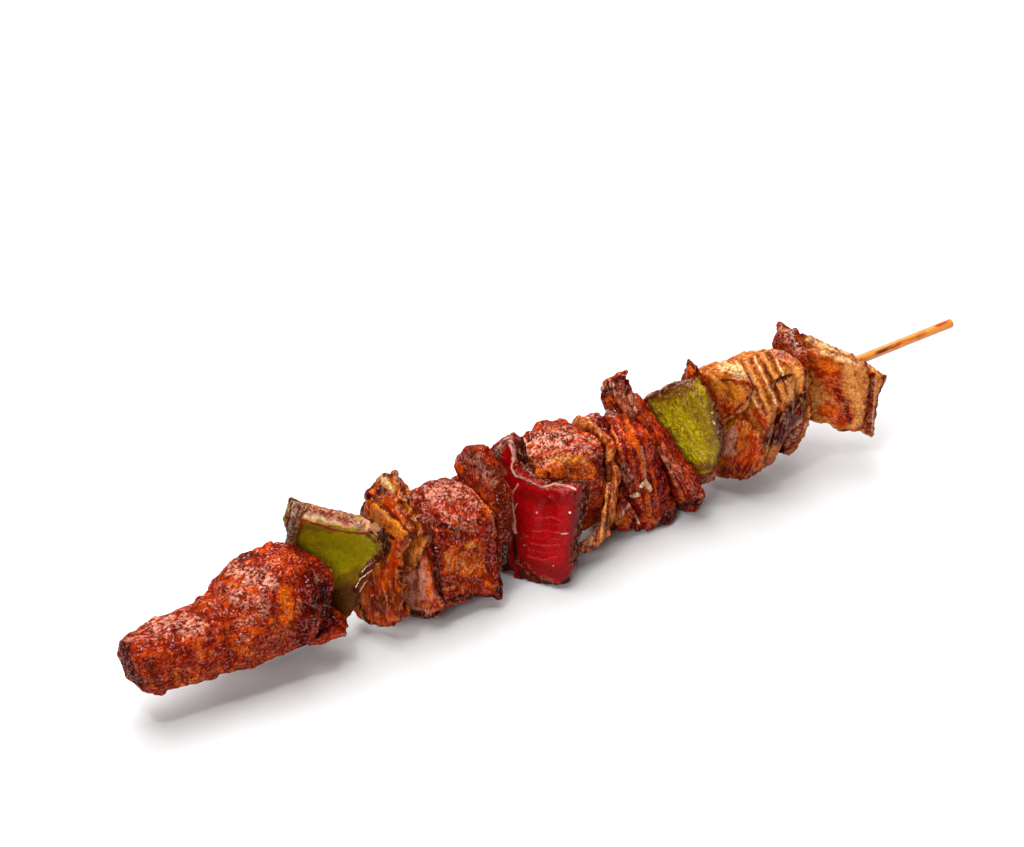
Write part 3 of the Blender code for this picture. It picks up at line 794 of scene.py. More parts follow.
def first_green_pepper():
    """The square with the pale cut edge along its top."""
    blisters = [[(298, 508), (300, 512)], [(293, 524), (292, 530)], [(318, 508), (324, 510)]]
    pepper("green_pepper_1", 0.20, OLIVE, LIME, glossy=0.12, bumpy=0.15, mottle=0.35,
           marks={
        # Painted shadow under the cut edge
        "dark above the flesh": (DARK_OLIVE, 0.8, 6, (303, 528), (312, 526), (330, 530)),
        "shade beside the meat": (DARK_OLIVE, 0.9, 9, (300, 548), (312, 566), (322, 580)),
        # Brown glaze and painted shade over the lower part and the foot
        "brown below": (DARK_OLIVE, 1.0, 10, (316, 584), (330, 586), (346, 582), (360, 574)),
        "brown foot": (PEAT, 1.0, 14, (322, 598), (338, 600), (352, 594)),
        "lowest foot": (PEAT, 1.0, 12, (330, 612), (348, 608)),
        "cut edge": (TAN, 1.0, 11, (302, 508), (322, 512), (342, 517)),
        "cut edge narrowing": (TAN, 1.0, 7, (342, 518), (360, 523), (376, 528)),
        "ash on the cut edge": (ASH_GREY, 0.8, 4, (306, 512), (322, 517), (342, 522), (360, 526)),
        "rose on the cut edge": (BLUSH, 0.7, 4, (312, 510), (330, 516), (350, 524)),
        "blistered side": (ASH_GREY, 1.0, 7, (296, 506), (291, 530), (288, 550)),
        "brown beside the blisters": (UMBER, 0.7, 3, (302, 515), (299, 530), (297, 545)),
        "purple flecks": (MAROON, 0.7, 2.5, (298, 507), (306, 511), (300, 517)),
        "more flecks": (MAROON, 0.7, 2, (326, 505), (334, 509), (345, 510)),
        # Painted shadow line under the cut edge
        "line under the cut edge": (UMBER, 0.9, 1.6, (300, 519), (316, 524), (335, 530), (355, 533),
                                    (378, 533)),
        "charred corner": (CHAR, 0.95, 6, (380, 534), (386, 545), (382, 552)),
        "charred curl": (CHAR, 0.9, 5, (376, 558), (364, 575), (357, 588)),
        "wine beside the curl": (WINE, 0.6, 3, (370, 572), (360, 586)),
        "white curl 1": (FAT_AND_GLINT_WHITE, 1.0, 0.65, (356, 587), (360, 579), (369, 572), (377, 568)),
        "white curl 2": (FAT_AND_GLINT_WHITE, 1.0, 0.6, (360, 592), (365, 583), (371, 578)),
        "white curl 3": (FAT_AND_GLINT_WHITE, 0.9, 0.6, (362, 572), (366, 567), (372, 563)),
        # Painted glints on the charred corner
        "painted glint on the char 1": (FAT_AND_GLINT_WHITE, 1.0, 1.2, (385, 538), (388, 542)),
        "painted glint on the char 2": (FAT_AND_GLINT_WHITE, 0.9, 1.0, (381, 548)),
        "painted glint on the char 3": (PINK_CRUST_AND_SHEEN, 0.9, 1.0, (374, 532), (378, 536)),
        "purple top rim": (MAROON, 0.95, 1.6, (293, 500), (310, 502), (324, 501), (342, 506), (358, 512),
                           (372, 522)),
        "purple side rim": (MAROON, 0.9, 1.6, (292, 503), (287, 525), (285, 545)),
    }, folds={
        "crease under the cut edge": (-0.5, 2, (318, 521), (335, 528), (355, 531), (378, 532)),
        "rolled right edge": (0.7, 4, (380, 545), (372, 566), (358, 588)),
        "rolled left edge": (0.4, 3, (296, 512), (291, 532), (288, 550)),
        **strokes("blister", blisters, (0.4, 2)),
        "hollow face": (-0.6, 14, (325, 555), (345, 560)),
    }, crackle={
        "cut edge": (0.9, 7, (303, 507), (322, 511), (342, 517), (360, 524)),
        "blistered side": (1.0, 6, (297, 508), (292, 530), (289, 550)),
        "burnt corner": (0.8, 6, (380, 536), (384, 548), (374, 562)),
    }, moves={
        "pointed corner": ((294, 501), 8, (-1, 2, 0)),
        "far corner": ((384, 534), 8, (2, 2, 0)),
    })


def first_onion():
    """The gold petal over a brown lobe, the leaf with two tips, and the rose leaf at the foot."""
    lobe_folds = [[(372, 584), (374, 602), (384, 620)], [(392, 580), (394, 600), (396, 614)]]
    onion("onion_1", 0.31, base=CARAMEL, light=GOLD_GLAZE_AND_GLINT, browned=0.7, lines_turn=(0, 0, 30), wrinkled=0.5,
          marks={
        "burnt tip": (MAROON, 1.0, 3.5, (365, 491), (369, 497)),
        "gold middle": (GOLD_GLAZE_AND_GLINT, 0.9, 6, (374, 508), (386, 518), (402, 534)),
        "burnt upper rim": (MAROON, 1.0, 2.5, (366, 494), (380, 507), (396, 522), (414, 540)),
        "burnt lower rim": (MAROON, 1.0, 3.5, (361, 504), (360, 516), (374, 526), (392, 538)),
        "dark gap": (CHAR, 1.0, 8, (380, 538), (386, 548), (378, 556)),
        "brown neck": (CARAMEL, 1.0, 7, (402, 546), (394, 560), (388, 572)),
        "gold on the neck": (ORANGE_GLAZE, 0.7, 3, (404, 544), (396, 556)),
        "brown lobe": (CARAMEL, 1.0, 18, (380, 590), (384, 610)),
        "shade of the lobe": (UMBER, 0.8, 14, (378, 604), (392, 600)),
        "orange on the lobe": (ORANGE_GLAZE, 0.8, 3, (382, 582), (386, 598)),
        "orange right": (ORANGE_GLAZE, 0.7, 2.5, (396, 590), (398, 606)),
        "orange left": (ORANGE_GLAZE, 0.7, 3, (364, 588), (366, 602)),
        "pale line": (TAN, 0.4, 1.2, (384, 590), (388, 606), (386, 618)),
        "dark right side": (MAROON, 1.0, 5, (400, 570), (404, 595), (402, 615)),
        **strokes("fold of the lobe", lobe_folds, (MAROON, 0.9, 2.2), (MAROON, 0.8, 1.6)),
        "burnt foot": (MAROON, 0.9, 3, (357, 600), (366, 620), (382, 629), (400, 622)),
    }, folds={
        "gold petal": (0.5, 4, (370, 502), (384, 514), (402, 532)),
        "groove above the petal": (-0.7, 2, (372, 497), (386, 509), (402, 525), (412, 536)),
        **strokes("fold of the lobe", lobe_folds, (-0.7, 2.5), (-0.6, 2.5)),
        "ridge of the lobe": (0.5, 3, (382, 582), (386, 608)),
        "neck": (-0.6, 5, (378, 556), (382, 566)),
    }, moves={
        "tip": ((370, 492), 12, (-5, -2, 0)),
        "cut back above": ((384, 488), 10, (-6, -8, 0)),
        "cut back right": ((396, 508), 10, (-5, -5, 0)),
        "lobe drawn in": ((412, 600), 16, (-9, 0, 0)),
        "lobe drawn in high": ((408, 575), 12, (-5, 0, 0)),
        "waist drawn in": ((362, 556), 12, (8, 0, 0)),
    })

    onion("onion_2", 0.33, browned=0.25, lines_turn=(0, 0, 30), marks={
        "pale top": (CREAM, 1.0, 7, (386, 481), (389, 498)),
        "pale lower": (STRAW, 0.9, 5, (390, 504), (400, 512)),
        "gold below": (GOLD_GLAZE_AND_GLINT, 0.9, 7, (400, 512), (412, 528)),
        "burnt tips": (MAROON, 1.0, 2, (384, 471), (387, 475)),
        "burnt second tip": (MAROON, 1.0, 2.2, (395, 472), (397, 478)),
        "burnt left rim": (MAROON, 1.0, 1.6, (380, 480), (376, 492), (392, 509), (412, 532)),
        "burnt right rim": (MAROON, 1.0, 2.2, (398, 478), (403, 492), (413, 508), (424, 528)),
        "red side": (DEEP_RED, 0.9, 6, (414, 500), (424, 516), (432, 536), (428, 556)),
        "dark side": (MAROON, 0.8, 5, (412, 494), (420, 504)),
    }, folds={
        "rib": (0.4, 2, (388, 484), (398, 505), (412, 526)),
        "rib beside it": (0.3, 1.6, (384, 488), (392, 502)),
    }, moves={
        "left tip": ((384, 474), 6, (0, 4, 0)),
        "right tip": ((394, 474), 6, (1, 3, 0)),
        "notch between": ((389, 475), 4, (0, -5, 0)),
        "cut back right": ((408, 492), 12, (-8, -4, 0)),
        "cut back lower": ((420, 512), 13, (-10, -4, 0)),
        "cut back low": ((428, 534), 12, (-8, -2, -1)),
        "foot lifted": ((405, 560), 12, (4, 9, 0)),
    })

    onion("onion_3", 0.35, base=BLUSH, light=PEACH, browned=0.3, lines=(1, 1, 8), lines_turn=(20, 0, 0),
          charred=0.5, ragged=0.2, wrinkled=0.08, marks={
        "rose leaf": (BLUSH, 0.9, 10, (412, 552), (412, 592)),
        "pale stripe": (PEACH, 0.9, 2.5, (412, 550), (409, 572), (412, 594)),
        "second pale stripe": (PEACH, 0.7, 1.6, (420, 554), (420, 592)),
        "brown side": (ORANGE_GLAZE, 0.95, 3, (427, 548), (429, 572), (430, 595)),
        "dark side": (MAROON, 1.0, 4, (436, 548), (439, 575), (442, 600)),
        "brown low": (CARAMEL, 0.9, 6, (420, 604), (438, 606)),
        "yellow foot": (OCHRE, 0.7, 3, (416, 604), (428, 605)),
        "burnt foot": (MAROON, 1.0, 4, (399, 600), (412, 612), (430, 617), (448, 612)),
        "burnt side": (MAROON, 1.0, 3, (430, 542), (434, 565), (440, 588), (449, 602)),
    }, folds={
        "stripe": (0.3, 3, (411, 550), (409, 592)),
        "groove": (-0.3, 2, (416, 550), (416, 596)),
        "second stripe": (0.3, 2.5, (422, 552), (423, 598)),
    }, moves={
        "side let out": ((410, 572), 12, (-6, 0, 1)),
        "side let out low": ((412, 594), 12, (-6, 0, 1)),
        "knob pressed flat": ((438, 598), 10, (0, 0, -3)),
    })


def second_meats():
    """The big glazed chunk and the dark one behind it."""
    meat("meat_4", 0.040, charred=0.4, dark=0.2, fibre_turn=(0, 20, 60), lumpy=0.35, marks={
        "orange side": (ORANGE_GLAZE, 1.0, 15, (456, 562), (474, 566)),
        "gold spot 1": (GOLD_GLAZE_AND_GLINT, 0.7, 4, (466, 545), (478, 546)),
        "gold spot 2": (GOLD_GLAZE_AND_GLINT, 0.7, 4, (447, 556), (449, 568)),
        "gold spot 3": (GOLD_GLAZE_AND_GLINT, 0.6, 4, (446, 590), (456, 584)),
        "gold spot 4": (GOLD_GLAZE_AND_GLINT, 0.6, 4, (462, 562), (470, 572)),
        "red band": (SEAR_RED, 0.9, 4, (440, 534), (458, 538), (480, 534), (495, 528)),
        "red right side": (SEAR_RED, 0.9, 8, (492, 540), (494, 572)),
        "dark left edge": (MAROON, 1.0, 4, (434, 546), (437, 570), (441, 594)),
        "dark foot": (MAROON, 1.0, 3, (446, 602), (462, 597), (480, 596), (496, 598)),
        "dark corner": (MAROON, 0.9, 6, (500, 592), (503, 576)),
        "red top": (SEAR_BROWN, 0.8, 14, (430, 505), (470, 505)),
        "purple top": (DEEP_RED, 0.6, 6, (436, 482), (452, 478), (466, 482)),
        "purple far side": (DEEP_RED, 0.8, 6, (482, 492), (492, 504)),
        "maroon fold": (MAROON, 0.9, 4, (424, 512), (436, 524), (456, 529)),
        "red under the top": (BRIGHT_RED, 0.8, 4, (462, 514), (484, 518)),
        "orange by the knob": (ORANGE_GLAZE, 0.9, 5, (486, 506), (490, 518)),
        "orange over the onion": (ORANGE_GLAZE, 0.6, 5, (412, 500), (424, 516)),
    }, crackle={
        "dry top": (0.75, 13, (430, 494), (450, 490), (464, 496)),
        "dry front of the top": (0.6, 8, (446, 516), (462, 524), (476, 524)),
        "dry far top": (0.5, 8, (470, 506), (486, 500)),
        "dry left": (0.6, 8, (410, 496), (424, 514)),
        "dry right side": (0.3, 8, (494, 520), (496, 545)),
    }, folds={
        "fold of the shoulder": (-0.9, 4, (418, 494), (432, 514), (446, 536)),
        "rib over the edge": (0.7, 4, (448, 500), (456, 528), (458, 544)),
        "groove over the edge": (-0.6, 3, (466, 505), (470, 530)),
        "rib by the corner": (0.6, 4, (480, 508), (484, 532), (486, 548)),
        "groove down the left": (-0.5, 3, (441, 545), (444, 570)),
        "groove down the right": (-0.5, 3, (490, 540), (488, 570)),
    }, moves={
        "pointed corner": ((500, 594), 10, (1, -5, 0)),
        "hollow foot": ((476, 597), 14, (0, 5, 0)),
        "left foot": ((450, 602), 8, (0, -2, 0)),
        "rough top": ((415, 492), 8, (-2, 2, 0)),
        "left let out": ((418, 508), 13, (-6, 0, 2)),
        "edge pressed in left": ((442, 522), 12, (0, -1, -4)),
        "edge pressed in": ((464, 524), 13, (0, -1, -4)),
        "edge pressed in right": ((486, 520), 12, (-2, -1, -4)),
        "side hollowed": ((500, 560), 10, (-4, 0, 0)),
    })

    meat("meat_5", 0.050, charred=0.35, redness=0.3, dark=0.7, marks={
        "purple face": (MAROON, 0.65, 12, (496, 475), (503, 500), (506, 530)),
        "purple knob": (MAROON, 0.6, 10, (470, 454), (482, 470)),
        "red in the knob": (SEAR_BROWN, 0.7, 4, (470, 470), (478, 480)),
        "burnt foot": (CHAR, 0.9, 7, (506, 545), (506, 566)),
        "glow": (ORANGE_GLAZE, 0.8, 4, (490, 505), (492, 515)),
    }, crackle={
        "dry knob": (0.4, 10, (474, 460), (490, 480)),
    }, moves={
        "crown of the knob": ((474, 449), 10, (-1, 1, 0)),
        "knob drawn in": ((496, 452), 13, (-10, -6, 0)),
        "knob drawn in low": ((505, 470), 10, (-5, -4, 0)),
        "knob drawn in left": ((451, 466), 15, (11, 0, 0)),
        "knob drawn in top": ((464, 446), 8, (2, -1, 0)),
    })


def red_pepper():
    """The crimson square with its curled wing."""
    wrinkles = between(((536, 519), (550, 517), (562, 521)), ((528, 556), (542, 560), (556, 557)), 7)
    # Spots where glints are painted, each on a small raised drop
    glint_drops = [[(570, 513)], [(537, 513)], [(549, 497)], [(524, 545)], [(553, 566)]]
    top = ((545, 480), (566, 479), (590, 484))
    thickness = ((588, 490), (585, 515), (581, 536), (577, 560))
    pepper("red_pepper", 0.40, CRIMSON, WINE, glossy=0.2, bumpy=0.12, mottle=0.3,
           charred=0.5, wrinkle=(1, 4, 1), depth=0.2, marks={
        "dark behind the lip": (MAROON, 1.0, 5.5, (519, 440), (521, 455), (525, 466), (534, 474), (547, 480)),
        "dark further behind": (MAROON, 1.0, 6, (526, 440), (529, 458), (540, 472), (556, 478)),
        "dark left foot": (MAROON, 1.0, 7, (500, 562), (506, 570)),
        "pink behind the lip": (PALE_ROSE, 0.7, 1.2, (521, 462), (527, 470), (534, 476)),
        "pale inner wing": (PALE_ROSE, 1.0, 3.2, (511, 440), (513, 450), (515, 459)),
        "pale lip of the wing": (PALE_ROSE, 0.9, 1.2, (515, 460), (512, 464), (511, 468)),
        "pale lip": (PALE_ROSE, 1.0, 1.2, (511, 468), (516, 476), (530, 481), (541, 487)),
        "rosy left side": (PALE_ROSE, 0.8, 1.6, (490, 462), (497, 472), (503, 482)),
        "pale lip end": (PALE_ROSE, 0.8, 1.6, (541, 487), (556, 484), (568, 486), (576, 490)),
        "peeling side": (PEACH, 1.0, 2.4, (497, 470), (506, 485), (511, 498), (513, 515), (515, 532)),
        "peeling branch": (PEACH, 1.0, 1.1, (510, 500), (514, 491), (518, 484)),
        "second peeling branch": (PALE_ROSE, 0.9, 1.0, (513, 512), (517, 504)),
        "peeling outer wing": (PALE_ROSE, 1.0, 4, (491, 462), (499, 448), (509, 437)),
        "dark inner wing": (WINE, 0.9, 3, (507, 446), (509, 456), (508, 464)),
        "rose inner wing": (BLUSH, 0.6, 3, (499, 464), (505, 474)),
        # Painted shine on the wrinkles, where they catch the light
        **strokes("painted shine on wrinkle", wrinkles, (ROSE, 0.5, 1.4), (ROSE, 0.3, 1.2)),
        # Painted glints on the drops and in a dash
        **strokes("painted glint on a drop", glint_drops, (FAT_AND_GLINT_WHITE, 1.0, 1.5), (PALE_ROSE, 1.0, 1.4), (PALE_ROSE, 0.9, 1.1),
                  (PALE_ROSE, 0.9, 1.0), (PALE_ROSE, 0.9, 1.1)),
        "painted glint dash": (PALE_ROSE, 0.9, 1.0, (562, 534), (569, 533)),
        "burnt top": (MAROON, 1.0, 5, *top),
        "burnt thickness": (MAROON, 1.0, 8, *thickness),
        "burnt left foot": (MAROON, 0.9, 3, (515, 536), (515, 560), (522, 572)),
        "burnt foot": (MAROON, 0.95, 5, (520, 574), (540, 580), (560, 588), (571, 580)),
        "brown below the lip": (WINE, 0.8, 4, (548, 492), (575, 494)),
        # Painted shade in wine red on the face's right side and bottom
        "painted shade right": (WINE, 0.9, 7, (576, 500), (572, 540), (566, 572)),
        "painted shade low": (WINE, 0.9, 8, (522, 562), (540, 570), (560, 574)),
        "wine top": (WINE, 0.8, 8, (524, 494), (545, 500), (566, 500)),
    }, crackle={
        "outer wing": (1.0, 6, (493, 459), (500, 446), (509, 436)),
        "lip": (0.7, 2.5, (514, 440), (519, 458), (514, 467), (520, 477), (545, 488), (575, 485)),
        "burnt top": (0.8, 4, *top),
        "burnt thickness": (1.0, 8, *thickness),
        "foot": (0.5, 4, (518, 560), (535, 577), (560, 586)),
        "peeling side": (0.5, 2.5, (500, 475), (510, 497), (513, 520)),
        "behind the lip": (1.0, 5, (521, 450), (526, 466), (536, 475), (550, 480)),
    }, folds={
        "lip of the wing": (0.35, 1.8, (513, 436), (515, 458), (511, 468), (516, 476), (530, 481),
                            (541, 487)),
        "peeling side": (0.5, 2, (498, 472), (508, 490), (513, 515), (515, 535)),
        **strokes("wrinkle", wrinkles, (0.2, 1.6)),
        **strokes("drop", glint_drops, (0.3, 1.5)),
        "hollow face": (-0.5, 10, (545, 510), (545, 530)),
    }, moves={
        "tip of the wing": ((513, 434), 7, (1, 2, 0)),
        "left foot drawn in": ((502, 570), 15, (13, 3, 0)),
        "left side drawn in": ((502, 552), 10, (5, 0, 0)),
        "low corner": ((565, 585), 8, (3, -3, 0)),
        "right side drawn in": ((577, 545), 10, (-3, 0, 0)),
    })


def middle_meats():
    """The chunk behind the red pepper, a folded leaf, and the two layered slices."""
    meat("meat_6", 0.060, charred=0.3, redness=0.2, dark=0.3, fibre=(2.4, 1, 1), fibre_turn=(0, 30, 40),
         marks={
        "clear glaze": (GOLD_GLAZE_AND_GLINT, 0.9, 9, (545, 466), (562, 460), (582, 464)),
        "orange under the glaze": (ORANGE_GLAZE, 1.0, 10, (530, 466), (556, 470), (590, 472)),
        "third glaze": (ORANGE_GLAZE, 0.9, 5, (520, 437), (526, 442)),
        "fatty line": (TAN, 0.8, 1.5, (558, 431), (580, 436), (600, 444)),
        "gold centre": (GOLD_GLAZE_AND_GLINT, 1.0, 5, (566, 464), (578, 468)),
        "orange left": (ORANGE_GLAZE, 1.0, 5, (524, 458), (532, 470), (544, 478)),
        "dark spot": (MAROON, 0.9, 2.5, (548, 478), (549, 474)),
        "brown right side": (DEEP_RED, 0.8, 6, (598, 456), (600, 475)),
    }, crackle={
        "dry top": (1.0, 13, (528, 445), (545, 440), (562, 436)),
        "dry stripes": (0.8, 7, (532, 458), (548, 464)),
        "dry right": (0.5, 8, (575, 448), (592, 452)),
    }, moves={
        "pushed to the lip": ((532, 458), 15, (-9, -3, 0)),
        "pushed to the lip low": ((545, 474), 13, (-8, -5, 0)),
        "top drawn back": ((535, 426), 12, (0, -5, 0)),
        "rough top": ((545, 428), 7, (0, 2, 0)),
    })

    tan_folds = between(((600, 462), (599, 500), (590, 542)), ((611, 462), (609, 500), (606, 540)), 4)
    onion("onion_4", 0.41, base=CARAMEL, light=STRAW, brown=UMBER, browned=0.3, lines=(1, 1, 8),
          charred=0.4, joined=0.4, marks={
        **strokes("tan fold", tan_folds, (STRAW, 1.0, 2.0), (UMBER, 0.9, 1.4)),
        "brown upper part": (UMBER, 0.9, 7, (588, 432), (600, 446), (604, 470)),
        "orange fold": (ORANGE_GLAZE, 0.6, 2.5, (611, 470), (610, 500)),
        "tan foot": (TAN, 0.8, 6, (598, 524), (588, 542)),
        "rose foot": (BLUSH, 0.8, 4, (584, 542), (580, 548)),
        "purple foot": (MAROON, 0.7, 3, (580, 546), (596, 548)),
    }, folds={
        **strokes("tan fold", tan_folds, (0.5, 2.0), (-0.6, 1.6)),
    }, moves={
        "foot spread": ((590, 547), 14, (-13, -1, 0)),
        "foot spread higher": ((592, 532), 12, (-10, 0, 0)),
        "foot spread right": ((604, 534), 8, (6, 0, 0)),
        "upper fold": ((613, 462), 16, (-6, 0, 0)),
        "middle of the fold": ((610, 490), 14, (-4, 0, 0)),
    })

    strings = between(
        ((602, 428), (612, 452), (618, 476), (622, 492)), ((632, 410), (645, 438), (654, 478), (660, 522)), 9
    )
    fats = [[(632, 496), (638, 495)], [(641, 486), (646, 482), (650, 490)], [(636, 516), (639, 523)]]
    stripe = ((608, 455), (610, 490), (606, 525))
    meat("meat_7", 0.070, charred=0.35, redness=0.4, fibre=(1, 1, 3), lumpy=0.4, joined=0.35, marks={
        **strokes("string", strings, (BRIGHT_RED, 1.0, 2.4), (DEEP_RED, 0.7, 1.5), (ORANGE_GLAZE, 1.0, 2.2),
                  (SEAR_RED, 0.9, 1.5)),
        "wine hollow": (WINE, 0.9, 6, (656, 462), (662, 480), (664, 500)),
        "brown top": (SEAR_BROWN, 0.7, 9, (570, 420), (588, 420)),
        "fatty line": (TAN, 0.8, 1.5, (560, 432), (582, 438), (602, 445), (612, 447)),
        "pit": (CHAR, 1.0, 7, (601, 415), (604, 428)),
        "purple round the pit": (MAROON, 0.9, 6, (592, 410), (612, 412)),
        "orange shoulder": (ORANGE_GLAZE, 0.7, 5, (628, 430), (632, 446)),
        "purple shoulder": (MAROON, 0.8, 6, (622, 468), (628, 484)),
        "peach ridge": (PEACH, 0.9, 1.5, (641, 446), (645, 464), (645, 480)),
        "tan stripe": (STRAW, 0.8, 2.5, *stripe),
        "dark stripe": (MAROON, 0.9, 2.5, (613, 460), (615, 495), (612, 520)),
        "second tan stripe": (CARAMEL, 0.9, 3, (603, 460), (603, 520)),
        "brown shoulder": (UMBER, 0.5, 8, (622, 456), (630, 474)),
        "dark crevice": (CHAR, 1.0, 6, (620, 482), (630, 498)),
        "lobe": (ORANGE_GLAZE, 1.0, 8, (614, 510), (624, 522)),
        "gold on the lobe": (GOLD_GLAZE_AND_GLINT, 0.7, 4, (612, 514), (618, 522)),
        "pale stripe": (TAN, 0.9, 2.2, (616, 524), (622, 514), (630, 504)),
        **strokes("white fat", fats, (FAT_AND_GLINT_WHITE, 1.3, 2.6), (FAT_AND_GLINT_WHITE, 1.3, 2.2), (FAT_AND_GLINT_WHITE, 1.0, 1.5)),
        "orange red spine": (BRIGHT_RED, 1.0, 4, (645, 492), (646, 510), (648, 524)),
        "purple ruffle": (MAROON, 0.9, 5, (660, 524), (668, 514)),
        "bright low side": (ORANGE_GLAZE, 0.9, 5, (648, 508), (652, 522)),
        "red middle": (BRIGHT_RED, 0.8, 5, (640, 470), (650, 490)),
        "dark line by the lobe": (MAROON, 1.0, 3, (630, 500), (639, 512), (634, 528)),
        "burnt foot": (MAROON, 0.9, 2.5, (610, 532), (626, 534), (640, 531), (656, 531)),
        "burnt right foot": (MAROON, 0.9, 6, (662, 524), (670, 518)),
    }, crackle={
        "dry shoulder": (0.5, 6, (620, 466), (630, 480)),
        "dry top": (0.8, 9, (565, 425), (590, 418)),
        "ashen pit": (0.9, 5, (602, 410), (614, 413)),
    }, folds={
        "fatty ridge": (0.3, 2, (560, 432), (582, 438), (612, 447)),
        **strokes("string", strings, (0.3, 2.2), (-0.25, 1.6)),
        **strokes("white fat", fats, (1.1, 2.2), (1.0, 1.8), (0.9, 1.4)),
        "pit": (-2.0, 6, (600, 416), (605, 428)),
        "crevice": (-1.4, 5, (620, 482), (630, 498)),
        "round lobe": (1.2, 9, (614, 510), (622, 520)),
        "groove by the lobe": (-1.1, 3, (632, 500), (639, 512), (634, 528)),
        "stripe": (0.5, 2, *stripe),
        "stripe groove": (-0.6, 2, (613, 460), (615, 495)),
        "stripe before it": (0.5, 2, (600, 470), (602, 510)),
        "notch in the foot": (-0.8, 4, (640, 536), (643, 526)),
    }, moves={
        "rough top": ((573, 416), 7, (0, 2, 0)),
        "low corner": ((668, 524), 9, (1, 0, 0)),
        "pushed up to the next slice": ((655, 470), 14, (6, 0, 0)),
        "pushed up to it high": ((638, 430), 12, (5, 0, 0)),
        "pushed up to it low": ((672, 500), 12, (5, 0, 0)),
    })

    flap = between(
        ((603, 388), (612, 408), (624, 424), (634, 446)), ((632, 380), (636, 400), (648, 424), (660, 446)), 6
    )
    band = between(((652, 440), (668, 466), (682, 496)), ((660, 440), (684, 468), (702, 492)), 4)
    meat("meat_8", 0.080, charred=0.45, redness=0.8, dark=0.3, fibre=(1, 1, 3), fibre_turn=(-25, 0, 0),
         joined=0.35, lumpy=0.3, marks={
        **strokes("flap string", flap, (ORANGE_GLAZE, 0.9, 2.2), (DEEP_RED, 0.6, 1.3), (BLUSH, 0.6, 1.7)),
        **strokes("rose string", band, (BLUSH, 1.0, 2.0), (BRIGHT_RED, 0.9, 2.0)),
        "orange middle of the flap": (ORANGE_GLAZE, 0.9, 5, (614, 396), (626, 408), (634, 425)),
        "purple flap edge": (MAROON, 0.8, 3, (603, 395), (612, 382), (626, 377)),
        "bright spine": (BRIGHT_RED, 0.9, 5, (634, 412), (642, 440), (650, 470)),
        "orange spine": (ORANGE_GLAZE, 0.9, 3.5, (636, 430), (642, 446), (648, 458)),
        "fatty crease": (FAT_AND_GLINT_WHITE, 0.9, 1.8, (638, 428), (643, 448), (646, 466), (645, 482)),
        "red right edge": (BRIGHT_RED, 0.8, 4, (652, 428), (668, 458), (690, 485), (702, 494)),
        "rose rib": (BLUSH, 0.7, 2.5, (656, 440), (672, 464), (690, 486)),
        "dark hollow": (DEEP_RED, 0.9, 5, (658, 466), (664, 490)),
        "darkest hollow": (MAROON, 0.8, 3.5, (660, 475), (668, 500)),
        "purple ruffle": (MAROON, 0.85, 5, (664, 515), (680, 507), (698, 502)),
        "pale spot": (GOLD_GLAZE_AND_GLINT, 0.8, 2, (682, 496), (683, 499)),
    }, crackle={
        "dry flap": (0.9, 9, (610, 385), (622, 395), (632, 410)),
        "dry right edge": (0.5, 5, (660, 450), (690, 488)),
    }, folds={
        "fatty crease": (0.5, 2, (638, 428), (643, 448), (646, 466), (645, 484)),
        "groove beside it": (-1.1, 4, (652, 445), (658, 470), (664, 492)),
        "rib by the pepper": (0.8, 3, (655, 435), (670, 462), (692, 488)),
        "second rib": (0.5, 2.5, (664, 480), (680, 502)),
        **strokes("flap string", flap, (0.5, 1.8), (-0.7, 1.5)),
        **strokes("rose string", band, (0.5, 1.8), (-0.4, 1.5)),
    }, moves={
        "right side drawn in": ((640, 384), 20, (-16, 0, -2)),
        "right side drawn in lower": ((646, 402), 14, (-8, 0, -1)),
        "slope of the top": ((604, 380), 12, (3, -6, 0)),
        "left side let out": ((606, 402), 12, (-4, 0, 0)),
        "shoulder drawn in": ((645, 396), 12, (-8, -5, 0)),
        "ragged tip": ((629, 375), 6, (0, 1, 0)),
        "second ragged tip": ((618, 375), 4, (0, 2, 0)),
        "notch between the tips": ((624, 373), 4, (0, -3, 0)),
        "pointed right foot": ((704, 496), 8, (2, 0, 0)),
        "notch in the ruffle": ((692, 508), 6, (-2, 3, 0)),
        "second notch": ((676, 516), 5, (-1, 3, 0)),
    })


def second_green_pepper():
    """The bright, streaked square."""
    pepper("green_pepper_2", 0.50, LIME, OLIVE, bumpy=0.6, mottle=0.35, charred=0.5,
           depth=0.4, flecked=0.2, streaked=0.6, marks={
        "bright middle": (BRIGHT_LIME, 1.0, 15, (674, 418), (690, 436), (696, 452)),
        "bright left": (BRIGHT_LIME, 0.8, 6, (658, 420), (668, 440)),
        "dark top": (DARK_OLIVE, 0.8, 7, (660, 398), (690, 386)),
        "dark right": (DARK_OLIVE, 0.8, 6, (710, 400), (717, 430)),
        "dark foot": (DARK_OLIVE, 0.8, 6, (690, 466), (712, 468)),
        "purple top rim": (MAROON, 1.0, 2.5, (640, 404), (655, 394), (672, 385), (696, 377)),
        "pale top rim": (ASH_GREY, 0.8, 1.5, (676, 385), (692, 379)),
        "dark right rim": (MAROON, 1.0, 5, (706, 384), (716, 398), (722, 420), (724, 445), (722, 462)),
        **strokes("pale flake", [[(712, 413)], [(713, 421), (715, 424)], [(718, 432)]], (FAT_AND_GLINT_WHITE, 0.9, 1.3)),
        **strokes("small flake", [[(680, 394)], [(659, 410)]], (FAT_AND_GLINT_WHITE, 0.8, 1.2)),
        "pale corner": (STRAW, 0.9, 3, (646, 412), (652, 420)),
        "pale scrap": (FAT_AND_GLINT_WHITE, 0.9, 2, (682, 466), (687, 470)),
        "brown foot": (UMBER, 0.9, 3, (690, 473), (705, 477), (718, 470)),
    }, crackle={
        "top rim": (0.8, 3, (645, 402), (672, 387), (696, 379)),
        "right rim": (0.7, 3, (708, 390), (720, 420), (722, 455)),
    }, moves={
        "left corner": ((640, 405), 7, (-2, 1, 0)),
        "top corner": ((698, 378), 7, (1, 2, 0)),
    })


